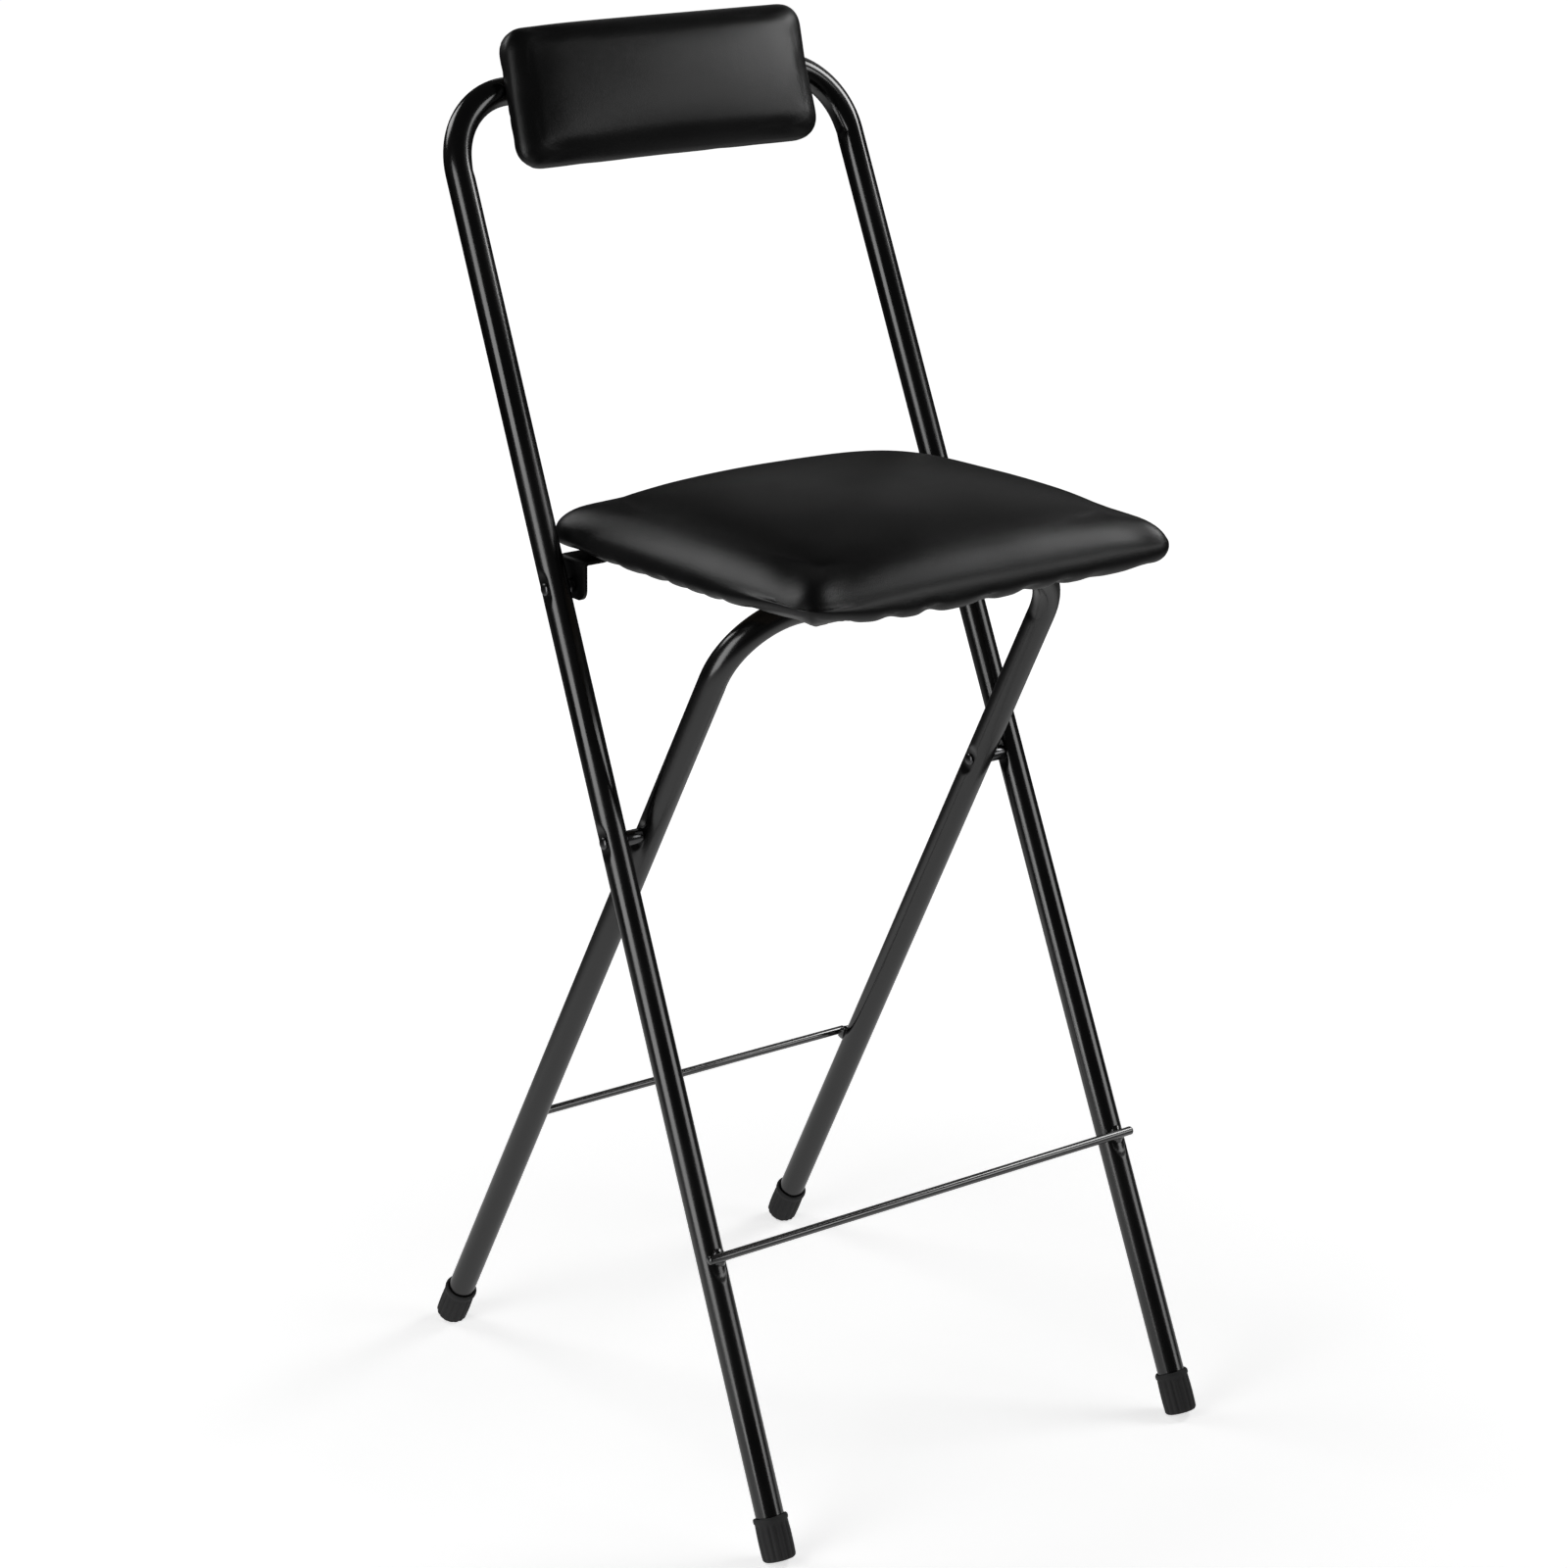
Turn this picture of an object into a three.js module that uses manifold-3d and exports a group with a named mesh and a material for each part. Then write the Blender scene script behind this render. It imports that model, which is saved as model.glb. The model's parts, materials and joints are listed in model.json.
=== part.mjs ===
// Folding bar stool: two bent tube frames crossing on rivets, padded seat and backrest.
// Millimetres, +Z up, the front of the stool faces -Y, origin on the floor under its middle.
import * as THREE from 'three';
import { mergeVertices } from 'three/addons/utils/BufferGeometryUtils.js';
import ManifoldModule from 'manifold-3d';

const wasm = await ManifoldModule();
wasm.setup();

// Front frame: one tube, up one leg, over the bow behind the backrest and down the other leg
const tubeDiameter = 22;
const tubeWall = 1.5;
const frontLean = THREE.MathUtils.degToRad(24.29);
const frontFootForward = 252.5;
const bowHeight = 1044.4;
const bowHalfWidth = 188.8;
const frontSplay = 16.9;
const bowBendRadius = 61;

// Rear frame: a narrower inverted U whose crossbar carries the seat
const rearLean = THREE.MathUtils.degToRad(28.27);
const crossbarHeight = 704;
const crossbarHalfWidth = 158.9;
const rearSplay = 18.5;
const crossbarBendRadius = 60.5;

// Pivots
const legPivotHeight = 511.5;
const seatPivotBelowBoard = 25.4;
const shankDiameter = 6;
const rivetHeadDiameter = 9.5;
const rivetHeadHeight = 2.2;
const spacerDiameter = 12;
const pressDepth = 1.8;
const pressHalfLength = 18;
const pressSpread = 2;
const pressShares = [-1, -0.5, 0, 0.5, 1];

// Stretchers
const frontRodDiameter = 7;
const rearRodDiameter = 6.6;
const frontRodHeight = 215.5;
const rearRodHeight = 209.2;
const frontRodOverhang = 12;
const rearRodShort = 3;
const frontWeldInboard = 1;
const rearWeldInboard = 5;
const weldLength = 15;
const weldWidth = 11;
const weldHeight = 8;

// Rubber foot caps
const capRadius = 12.8;
const capLength = 34;
const capFloor = 5;
const capRimHeight = 4.5;
const capRimExtra = 0.5;
const capSoleRound = 2.5;
const capRibDepth = 0.7;
const capRibCount = 16;
const capFlatDepth = 2;
const capSoleBevelShare = 0.3;

// Seat
const seatInsideStrap = 2;
const seatHalfDepth = 163;
const seatBehindPivot = 34.1;
const seatCornerRadius = 26;
const hemInset = 22;
const hemToSeam = 13.5;
const seatCrown = 38;
const seatBoardThickness = 10;
const hemCornerRadius = 14;
const hemThickness = 3;
const pinchShare = 0.52;
const crownFlatness = 2.32;
const crownSteepness = 0.32;
const crownShares = [0.996, 0.985, 0.96, 0.92, 0.86, 0.77, 0.64, 0.47, 0.25];
const underInsetShare = 0.3;
const underHeightShare = 0.42;

// Backrest
const backHalfWidth = 141.5;
const backHalfHeight = 55;
const backDrop = 10.5;
const backCornerRadius = 25;
const backThickness = 21.5;
const backCrown = 7;
const backBoardThickness = 8;
const backBoardInset = 6;
const backScrewSpread = 78;
const backRoll = 3.2;
const backHemPull = 2;
const backRollInsetShare = 0.35;
const backRollHeightShare = 0.75;
const backCrownFlatness = 2.6;
const backCrownSteepness = 0.8;
const backCrownShares = [0.93, 0.8, 0.6, 0.34];

// Hinge strap: flat steel across the back of the seat, its ends turned down as ears
const strapWidth = 33;
const strapThickness = 3;
const strapToLeg = 4.4;
const strapBendRadius = 4;
const earBelowPivot = 10.5;
const earCornerRadius = 9;
const strapScrewForward = 7;
const strapScrewFromSide = 53;

// Saddles that rest on the crossbar
const saddleTop = 2.2;
const saddleWall = 3.2;
const saddleWidth = 24;
const saddleSpreadShare = 0.41;
const saddleTail = 17;
const saddleLipBelow = 2;
const saddleScrewClear = 1;
const saddleTailRise = THREE.MathUtils.degToRad(48);

// Screws
const screwDiameter = 4;
const screwHeadDiameter = 8;
const screwHeadHeight = 2.4;
const screwInBoard = 7;
const recessWidth = 1.2;
const recessDepth = 1.1;
const recessLength = 4.4;
const backScrewHeadDiameter = 9.5;

// Rounded ends, as shares of the radius and of the height
const domeRadiusShares = [0, 0.5, 0.85, 1, 1];
const domeHeightShares = [1, 0.9, 0.55, 0.12, 0];
const headRadiusShares = [0, 0.6, 0.92, 1, 1];
const headHeightShares = [1, 0.9, 0.5, 0.1, 0];
const rodEndRadiusShares = [0, 0.6, 1];
const rodEndHeightShares = [0, 0.15, 0.7];

// Fits
const seatGap = 0.3;
const boreGap = 0.3;
const weldGap = 0.15;
const overrun = 4;

// Fineness of the rounds
const tubeFacets = 20;
const bendSteps = 9;
const rivetFacets = 18;
const screwFacets = 12;
const rodFacets = 14;
const capFacets = capRibCount * 2;
const cornerSteps = 5;
const sideSteps = 7;
const saddleSteps = 9;
const strapBendSteps = 4;
const earSteps = 6;

// Values that follow
const tubeRadius = tubeDiameter / 2;
const boreRadius = tubeRadius - tubeWall;
const quarterTurn = Math.PI / 2;
const holeRadius = shankDiameter / 2 + boreGap;
const screwHoleRadius = screwDiameter / 2 + boreGap;
const landOffset = tubeRadius - pressDepth;
const crossbarTop = crossbarHeight + tubeRadius;
const boardUnderside = crossbarTop + seatGap + saddleTop + seatGap;
const seatPivotHeight = boardUnderside - seatPivotBelowBoard;
const seatBoardInset = hemInset + hemThickness;
const upAxis = new THREE.Vector3(0, 0, 1);
const sideAxis = new THREE.Vector3(1, 0, 0);
const sides = { left: -1, right: 1 };

function frontLegAt(side, height) {
  const splay = frontSplay * (1 - height / bowHeight);
  const y = height * Math.tan(frontLean) - frontFootForward;
  return new THREE.Vector3(side * (bowHalfWidth + splay), y, height);
}

const legPivot = frontLegAt(0, legPivotHeight);
const seatPivot = frontLegAt(0, seatPivotHeight);
const strapHalfWidth = frontLegAt(sides.right, seatPivotHeight).x - tubeRadius - strapToLeg;
const seatHalfWidth = strapHalfWidth - seatInsideStrap;
const seatCentreY = seatPivot.y + seatBehindPivot - seatHalfDepth;
const strapScrewOuter = seatHalfWidth - strapScrewFromSide;
const strapScrewInner = strapScrewOuter / 2;
const saddleSpread = seatHalfWidth * saddleSpreadShare;

function rearLegAt(side, height) {
  const splay = rearSplay * (1 - height / crossbarHeight);
  const y = legPivot.y - (height - legPivotHeight) * Math.tan(rearLean);
  return new THREE.Vector3(side * (crossbarHalfWidth + splay), y, height);
}

// Solids from geometry and back

function solid(geometry) {
  const bare = geometry.clone();
  for (const name of Object.keys(bare.attributes)) {
    if (name !== 'position') bare.deleteAttribute(name);
  }
  const merged = mergeVertices(bare);
  return new wasm.Manifold(new wasm.Mesh({
    numProp: 3,
    vertProperties: new Float32Array(merged.attributes.position.array),
    triVerts: new Uint32Array(merged.index.array),
  }));
}

function surface(body) {
  const mesh = body.getMesh();
  const geometry = new THREE.BufferGeometry();
  geometry.setAttribute('position', new THREE.BufferAttribute(new Float32Array(mesh.vertProperties), 3));
  geometry.setIndex(new THREE.BufferAttribute(new Uint32Array(mesh.triVerts), 1));
  geometry.computeVertexNormals();
  return geometry;
}

function pointed(axis, from, to, geometry) {
  const turn = new THREE.Quaternion().setFromUnitVectors(axis, to.clone().sub(from).normalize());
  return geometry.applyQuaternion(turn).translate(from.x, from.y, from.z);
}

// A round turned about +Z from radius and height pairs, starting and ending on the axis
function turned(profile, facets) {
  const points = profile.map(([r, h]) => new THREE.Vector2(r, h));
  return new THREE.LatheGeometry(points, facets).rotateX(quarterTurn);
}

function bar(radius, from, to, facets) {
  const length = from.distanceTo(to);
  const shape = turned([[0, 0], [radius, 0], [radius, length], [0, length]], facets);
  return solid(pointed(upAxis, from, to, shape));
}

function ring(inner, outer, from, to, facets) {
  const length = from.distanceTo(to);
  const profile = [[inner, 0], [outer, 0], [outer, length], [inner, length], [inner, 0]];
  return solid(pointed(upAxis, from, to, turned(profile, facets)));
}

// Tubes bent along a path of stations

class StationPath extends THREE.Curve {
  constructor(stations) {
    super();
    this.stations = stations;
  }

  stationAt(share) {
    return this.stations[Math.round(share * (this.stations.length - 1))];
  }

  getPointAt(share, target = new THREE.Vector3()) {
    return target.copy(this.stationAt(share).point);
  }

  getTangentAt(share, target = new THREE.Vector3()) {
    return target.copy(this.stationAt(share).heading);
  }
}

function bendStations(before, corner, after, radius) {
  const incoming = corner.clone().sub(before).normalize();
  const outgoing = after.clone().sub(corner).normalize();
  const turn = incoming.angleTo(outgoing);
  const reach = radius * Math.tan(turn / 2);
  const start = corner.clone().addScaledVector(incoming, -reach);
  const hinge = incoming.clone().cross(outgoing).normalize();
  const centre = start.clone().addScaledVector(hinge.clone().cross(incoming), radius);
  return Array.from({ length: bendSteps + 1 }, (unused, step) => {
    const angle = (turn * step) / bendSteps;
    const point = start.clone().sub(centre).applyAxisAngle(hinge, angle).add(centre);
    return { point, heading: incoming.clone().applyAxisAngle(hinge, angle) };
  });
}

function legStations(from, to, pivots) {
  const heading = to.clone().sub(from).normalize();
  const stations = [{ point: from.clone(), heading }];
  for (const pivot of pivots) {
    for (const share of pressShares) {
      stations.push({ point: pivot.clone().addScaledVector(heading, share * pressHalfLength), heading });
    }
  }
  return stations;
}

function circlePoints(radius, facets) {
  return Array.from({ length: facets }, (unused, step) => {
    const angle = (2 * Math.PI * step) / facets;
    return new THREE.Vector2(radius * Math.cos(angle), radius * Math.sin(angle));
  });
}

// The tube is pressed flat on both faces where a rivet passes
function pressFlats(geometry, legAt, heights) {
  const place = geometry.attributes.position;
  for (let index = 0; index < place.count; index += 1) {
    const point = new THREE.Vector3().fromBufferAttribute(place, index);
    const side = Math.sign(point.x);
    const onAxis = nearestOnLeg(legAt, point);
    const skinRadius = point.distanceTo(onAxis) > tubeRadius - tubeWall / 2 ? tubeRadius : boreRadius;
    const nearest = Math.min(...heights.map((height) => legAt(side, height).distanceTo(onAxis)));
    const fade = Math.cos(quarterTurn * Math.min(1, nearest / pressHalfLength)) ** 2;
    const limit = skinRadius - pressDepth * Math.min(1, fade * pressSpread);
    const axisX = legAt(side, point.z).x;
    const offset = point.x - axisX;
    if (nearest < pressHalfLength && Math.abs(offset) > limit) {
      place.setX(index, axisX + Math.sign(offset) * limit);
    }
  }
  return geometry;
}

function nearestOnLeg(legAt, point) {
  const side = Math.sign(point.x);
  const low = legAt(side, 0);
  const heading = legAt(side, legPivotHeight).sub(low).normalize();
  return low.addScaledVector(heading, point.clone().sub(low).dot(heading));
}

function bentTube(legAt, topHeight, radius, footHeight, pivotHeights) {
  const feet = [legAt(sides.left, footHeight), legAt(sides.right, footHeight)];
  const corners = [legAt(sides.left, topHeight), legAt(sides.right, topHeight)];
  const risingPivots = pivotHeights.map((height) => legAt(sides.left, height));
  const fallingPivots = pivotHeights.map((height) => legAt(sides.right, height)).reverse();
  const falling = legStations(corners[1], feet[1], fallingPivots).slice(1);
  const stations = [
    ...legStations(feet[0], corners[0], risingPivots),
    ...bendStations(feet[0], corners[0], corners[1], radius),
    ...bendStations(corners[0], corners[1], feet[1], radius),
    ...falling,
    { point: feet[1], heading: feet[1].clone().sub(corners[1]).normalize() },
  ];
  const section = new THREE.Shape(circlePoints(tubeRadius, tubeFacets));
  section.holes.push(new THREE.Path(circlePoints(boreRadius, tubeFacets)));
  const extrudePath = new StationPath(stations);
  const geometry = new THREE.ExtrudeGeometry(section, { steps: stations.length - 1, extrudePath });
  return solid(pressFlats(geometry, legAt, pivotHeights));
}

function acrossHole(centre, radius) {
  const from = centre.clone().addScaledVector(sideAxis, -tubeDiameter);
  const to = centre.clone().addScaledVector(sideAxis, tubeDiameter);
  return bar(radius, from, to, rivetFacets);
}

// Height of the middle of a cap's sole, so that its heel stands a little into the floor and is cut flat
function soleHeight(lean) {
  return capRadius * Math.sin(lean) - capFlatDepth;
}

function tubeEndHeight(lean) {
  return soleHeight(lean) + (capFloor + seatGap) * Math.cos(lean);
}

const floorCut = solid(new THREE.BoxGeometry(bowHeight, bowHeight, overrun * 2).translate(0, 0, -overrun));

function footCap(legAt, side, lean) {
  const bore = tubeRadius + boreGap;
  const rimFrom = capLength - capRimHeight;
  const profile = [
    [0, 0],
    [capRadius - capSoleRound, 0],
    [capRadius - capSoleRound * capSoleBevelShare, capSoleRound * capSoleBevelShare],
    [capRadius, capSoleRound],
    [capRadius, rimFrom],
    [capRadius + capRimExtra, rimFrom + capRimExtra],
    [capRadius + capRimExtra, capLength - capRimExtra],
    [capRadius, capLength],
    [bore, capLength],
    [bore, capFloor],
    [0, capFloor],
  ];
  const geometry = turned(profile, capFacets);
  const place = geometry.attributes.position;
  for (let index = 0; index < place.count; index += 1) {
    const radius = Math.hypot(place.getX(index), place.getY(index));
    const height = place.getZ(index);
    const turn = Math.atan2(place.getY(index), place.getX(index)) / (2 * Math.PI);
    const groove = Math.round(turn * capFacets) % 2 !== 0;
    const onWall = Math.abs(radius - capRadius) < capRibDepth / 2 && height < capLength - capRimHeight / 2;
    if (groove && onWall) {
      const share = (capRadius - capRibDepth) / capRadius;
      place.setX(index, place.getX(index) * share);
      place.setY(index, place.getY(index) * share);
    }
  }
  const sole = legAt(side, soleHeight(lean));
  return solid(pointed(upAxis, sole, legAt(side, legPivotHeight), geometry)).subtract(floorCut);
}

// Rivet along X with a domed head at each end
function rivet(from, to) {
  const length = from.distanceTo(to);
  const dome = (start, sign) => [
    ...domeRadiusShares.map((share, step) => [
      (share * rivetHeadDiameter) / 2,
      start + sign * rivetHeadHeight * domeHeightShares[step],
    ]),
    [shankDiameter / 2, start],
  ];
  const profile = [...dome(0, -1), ...dome(length, 1).reverse()];
  return solid(pointed(upAxis, from, to, turned(profile, rivetFacets)));
}

function spacer(from, to) {
  return ring(holeRadius, spacerDiameter / 2, from, to, rivetFacets);
}

function alongX(centre, x) {
  return new THREE.Vector3(x, centre.y, centre.z);
}

// Stretcher rod laid across two legs and welded to both; the face is -1 in front and 1 behind
function stretcher(legAt, height, diameter, overhang, weldInboard, lean, face) {
  const radius = diameter / 2;
  const standOff = tubeRadius + radius + weldGap;
  const out = new THREE.Vector3(0, face * Math.cos(lean), Math.sin(lean));
  const rodEnd = (side) => {
    const onLeg = legAt(side, height);
    const reach = onLeg.x + side * overhang;
    return onLeg.setX(reach).addScaledVector(out, standOff);
  };
  const from = rodEnd(sides.left);
  const to = rodEnd(sides.right);
  const length = from.distanceTo(to);
  const end = rodEndRadiusShares.map((share, step) => [radius * share, radius * rodEndHeightShares[step]]);
  const profile = [...end, ...end.map(([r, h]) => [r, length - h]).reverse()];
  let body = solid(pointed(upAxis, from, to, turned(profile, rodFacets)));
  for (const side of Object.values(sides)) {
    const onLeg = legAt(side, height);
    const low = legAt(side, height - weldLength * 2);
    const high = legAt(side, height + weldLength * 2);
    const bead = new THREE.SphereGeometry(1, rodFacets, rodFacets / 2);
    bead.scale(weldWidth / 2, weldHeight / 2, weldLength / 2);
    bead.applyQuaternion(new THREE.Quaternion().setFromAxisAngle(sideAxis, face * lean));
    const seat = onLeg.clone().addScaledVector(out, tubeRadius);
    bead.translate(seat.x - side * weldInboard, seat.y, seat.z);
    body = body.add(solid(bead)).subtract(bar(tubeRadius + weldGap, low, high, tubeFacets * 2));
  }
  return body;
}

// Rounded rectangle outline, anticlockwise, with the sides divided so they can bow
function outline(halfX, halfY, radius) {
  const corners = [[1, 1], [-1, 1], [-1, -1], [1, -1]];
  return corners.flatMap(([signX, signY], quadrant) => {
    const centre = new THREE.Vector2(signX * (halfX - radius), signY * (halfY - radius));
    const arc = Array.from({ length: cornerSteps + 1 }, (unused, step) => {
      const angle = quarterTurn * (quadrant + step / cornerSteps);
      return new THREE.Vector2(radius * Math.cos(angle), radius * Math.sin(angle)).add(centre);
    });
    const [nextX, nextY] = corners[(quadrant + 1) % corners.length];
    const nextStart = new THREE.Vector2(nextX * (halfX - radius), nextY * (halfY - radius));
    const leave = quarterTurn * (quadrant + 1);
    nextStart.add(new THREE.Vector2(radius * Math.cos(leave), radius * Math.sin(leave)));
    const side = Array.from({ length: sideSteps - 1 }, (unused, step) => (
      arc[cornerSteps].clone().lerp(nextStart, (step + 1) / sideSteps)
    ));
    return [...arc, ...side];
  });
}

function raised(points, height) {
  return points.map((point) => new THREE.Vector3(point.x, point.y, height));
}

// A closed skin through rings of equal count, from the middle of the underside to the middle of the top
function skin(rings, bottomHeight, topHeight) {
  const count = rings[0].length;
  const points = [new THREE.Vector3(0, 0, bottomHeight), ...rings.flat(), new THREE.Vector3(0, 0, topHeight)];
  const last = points.length - 1;
  const faces = [];
  for (let step = 0; step < count; step += 1) {
    const next = (step + 1) % count;
    faces.push(0, 1 + next, 1 + step);
    for (let level = 0; level < rings.length - 1; level += 1) {
      const low = 1 + level * count;
      const high = low + count;
      faces.push(low + step, low + next, high + step, high + step, low + next, high + next);
    }
    faces.push(last, last - count + step, last - count + next);
  }
  const geometry = new THREE.BufferGeometry().setFromPoints(points);
  geometry.setIndex(faces);
  return geometry;
}

function board(halfX, halfY, radius, thickness) {
  const edge = outline(halfX, halfY, radius);
  return skin([raised(edge, 0), raised(edge, thickness)], 0, thickness);
}

// Seat cushion: crowned in the middle, thin at its pinched corners, drawn in under the board
function seatCushion() {
  const pocketInset = seatBoardInset - seatGap;
  const pocket = outline(seatHalfWidth - pocketInset, seatHalfDepth - pocketInset, hemCornerRadius + seatGap);
  const hem = outline(seatHalfWidth - hemInset, seatHalfDepth - hemInset, hemCornerRadius);
  const underInset = hemInset * underInsetShare;
  const under = outline(
    seatHalfWidth - underInset,
    seatHalfDepth - underInset,
    THREE.MathUtils.lerp(seatCornerRadius, hemCornerRadius, underInsetShare),
  );
  const seam = outline(seatHalfWidth, seatHalfDepth, seatCornerRadius);
  const pinch = (point) => {
    const across = Math.abs(point.x / seatHalfWidth);
    const along = Math.abs(point.y / seatHalfDepth);
    return 1 - pinchShare * (across * along) ** 2;
  };
  const crownRing = (share) => seam.map((edge) => {
    const point = edge.clone().multiplyScalar(share);
    const rise = seatCrown * (1 - share ** crownFlatness) ** crownSteepness * pinch(point);
    return new THREE.Vector3(point.x, point.y, hemToSeam + rise);
  });
  const pocketTop = seatBoardThickness + seatGap;
  const rings = [
    raised(pocket, pocketTop),
    raised(pocket, 0),
    raised(hem, 0),
    raised(under, hemToSeam * underHeightShare),
    raised(seam, hemToSeam),
    ...crownShares.map(crownRing),
  ];
  const body = skin(rings, pocketTop, hemToSeam + seatCrown);
  return solid(body.translate(0, seatCentreY, boardUnderside));
}

// Frame of the backrest: x across, y up along the front frame, z out towards the sitter
const backrestFrame = new THREE.Matrix4().makeBasis(
  sideAxis,
  new THREE.Vector3(0, Math.sin(frontLean), Math.cos(frontLean)),
  new THREE.Vector3(0, -Math.cos(frontLean), Math.sin(frontLean)),
).setPosition(frontLegAt(0, bowHeight));
const backOffset = tubeRadius + seatGap;

function backCushion() {
  const pocket = outline(
    backHalfWidth - backBoardInset + seatGap,
    backHalfHeight - backBoardInset + seatGap,
    backCornerRadius - backBoardInset + seatGap,
  );
  const edge = (inset) => outline(backHalfWidth - inset, backHalfHeight - inset, backCornerRadius - inset);
  const shoulder = backThickness - backRoll;
  const outer = edge(backRoll);
  const crownRing = (share) => outer.map((point) => {
    const rise = backCrown * (1 - share ** backCrownFlatness) ** backCrownSteepness;
    return new THREE.Vector3(point.x * share, point.y * share, backThickness + rise);
  });
  const pocketTop = backBoardThickness + seatGap;
  const rings = [
    raised(pocket, pocketTop),
    raised(pocket, 0),
    raised(edge(backHemPull), 0),
    raised(edge(0), backHemPull * 2),
    raised(edge(0), shoulder),
    raised(edge(backRoll * backRollInsetShare), shoulder + backRoll * backRollHeightShare),
    raised(outer, backThickness),
    ...backCrownShares.map(crownRing),
  ];
  const body = skin(rings, pocketTop, backThickness + backCrown);
  return solid(body.translate(0, -backDrop, backOffset).applyMatrix4(backrestFrame));
}

// Screw pointing along +Z from the underside of its head, with a cross recess
function screw(length, headDiameter, matrix) {
  const shank = screwDiameter / 2;
  const profile = [
    ...headRadiusShares.map((share, step) => [
      (share * headDiameter) / 2,
      -screwHeadHeight * headHeightShares[step],
    ]),
    [shank, 0],
    [shank, length - shank],
    [0, length],
  ];
  const cut = (width, depth) => solid(
    new THREE.BoxGeometry(width, depth, recessDepth * 2).translate(0, 0, -screwHeadHeight),
  );
  const recess = cut(recessLength, recessWidth).add(cut(recessWidth, recessLength));
  const body = solid(turned(profile, screwFacets)).subtract(recess);
  return solid(surface(body).applyMatrix4(matrix));
}

function placed(x, y, z) {
  return new THREE.Matrix4().makeTranslation(x, y, z);
}

const strapScrewY = seatPivot.y - strapScrewForward;

function hingeStrap() {
  const top = boardUnderside - seatGap;
  const bottom = seatPivotHeight - earBelowPivot;
  const bend = strapBendRadius;
  const shape = new THREE.Shape();
  shape.moveTo(-strapHalfWidth, bottom);
  shape.lineTo(-strapHalfWidth, top - bend);
  shape.absarc(-strapHalfWidth + bend, top - bend, bend, Math.PI, quarterTurn, true);
  shape.lineTo(strapHalfWidth - bend, top);
  shape.absarc(strapHalfWidth - bend, top - bend, bend, quarterTurn, 0, true);
  shape.lineTo(strapHalfWidth, bottom);
  shape.lineTo(strapHalfWidth - strapThickness, bottom);
  shape.lineTo(strapHalfWidth - strapThickness, top - bend);
  shape.absarc(strapHalfWidth - bend, top - bend, bend - strapThickness, 0, quarterTurn, false);
  shape.lineTo(-strapHalfWidth + bend, top - strapThickness);
  shape.absarc(-strapHalfWidth + bend, top - bend, bend - strapThickness, quarterTurn, Math.PI, false);
  shape.lineTo(-strapHalfWidth + strapThickness, bottom);
  shape.closePath();
  const plain = new THREE.ExtrudeGeometry(shape, {
    depth: strapWidth,
    bevelEnabled: false,
    curveSegments: strapBendSteps,
  });
  plain.rotateX(quarterTurn).translate(0, seatPivot.y + strapWidth / 2, 0);
  const rounded = earOutline(bottom, top + overrun);
  let body = solid(plain).intersect(rounded);
  body = body.subtract(bar(
    holeRadius,
    alongX(seatPivot, -strapHalfWidth - overrun),
    alongX(seatPivot, strapHalfWidth + overrun),
    rivetFacets,
  ));
  for (const x of strapScrewPlaces()) {
    const hole = bar(
      screwHoleRadius,
      new THREE.Vector3(x, strapScrewY, top - strapThickness - overrun),
      new THREE.Vector3(x, strapScrewY, top + overrun),
      screwFacets,
    );
    body = body.subtract(hole);
  }
  return body;
}

// The strap seen from the side: square at the top, rounded at the lower end of the ear
function earOutline(bottom, top) {
  const reach = strapWidth / 2;
  const round = earCornerRadius;
  const shape = new THREE.Shape();
  shape.moveTo(-reach, top);
  shape.lineTo(-reach, bottom + round);
  shape.absarc(-reach + round, bottom + round, round, Math.PI, Math.PI + quarterTurn, false);
  shape.absarc(reach - round, bottom + round, round, -quarterTurn, 0, false);
  shape.lineTo(reach, top);
  shape.closePath();
  const span = (strapHalfWidth + overrun) * 2;
  const geometry = new THREE.ExtrudeGeometry(shape, {
    depth: span,
    bevelEnabled: false,
    curveSegments: earSteps,
  });
  geometry.rotateX(quarterTurn).rotateZ(quarterTurn).translate(-span / 2, seatPivot.y, 0);
  return solid(geometry);
}

function strapScrewPlaces() {
  return [-strapScrewOuter, -strapScrewInner, strapScrewInner, strapScrewOuter];
}

// Saddle: a hook over the front and top of the crossbar with a flat tail screwed to the board
const crossbar = rearLegAt(0, crossbarHeight);
const saddleScrewBack = tubeRadius + saddleTail / 2 + saddleScrewClear;

function saddle(side) {
  const inner = tubeRadius + seatGap;
  const outer = inner + saddleWall;
  const top = inner + saddleTop;
  const shape = new THREE.Shape();
  shape.moveTo(-outer, -saddleLipBelow);
  shape.lineTo(-inner, -saddleLipBelow);
  for (let step = 0; step <= saddleSteps; step += 1) {
    const angle = Math.PI - ((Math.PI - saddleTailRise) * step) / saddleSteps;
    shape.lineTo(inner * Math.cos(angle), inner * Math.sin(angle));
  }
  const tailRoot = inner * Math.cos(saddleTailRise) + saddleWall;
  shape.lineTo(tailRoot, top - saddleTop);
  shape.lineTo(tubeRadius + saddleTail, top - saddleTop);
  shape.lineTo(tubeRadius + saddleTail, top);
  shape.lineTo(-outer + saddleWall / 2, top);
  shape.lineTo(-outer, top - saddleWall / 2);
  shape.closePath();
  const geometry = new THREE.ExtrudeGeometry(shape, { depth: saddleWidth, bevelEnabled: false });
  geometry.rotateX(quarterTurn).rotateZ(quarterTurn);
  geometry.translate(side * saddleSpread - saddleWidth / 2, crossbar.y, crossbar.z);
  const x = side * saddleSpread;
  const y = crossbar.y + saddleScrewBack;
  return solid(geometry).subtract(bar(
    screwHoleRadius,
    new THREE.Vector3(x, y, crossbar.z),
    new THREE.Vector3(x, y, boardUnderside + overrun),
    screwFacets,
  ));
}

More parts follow.
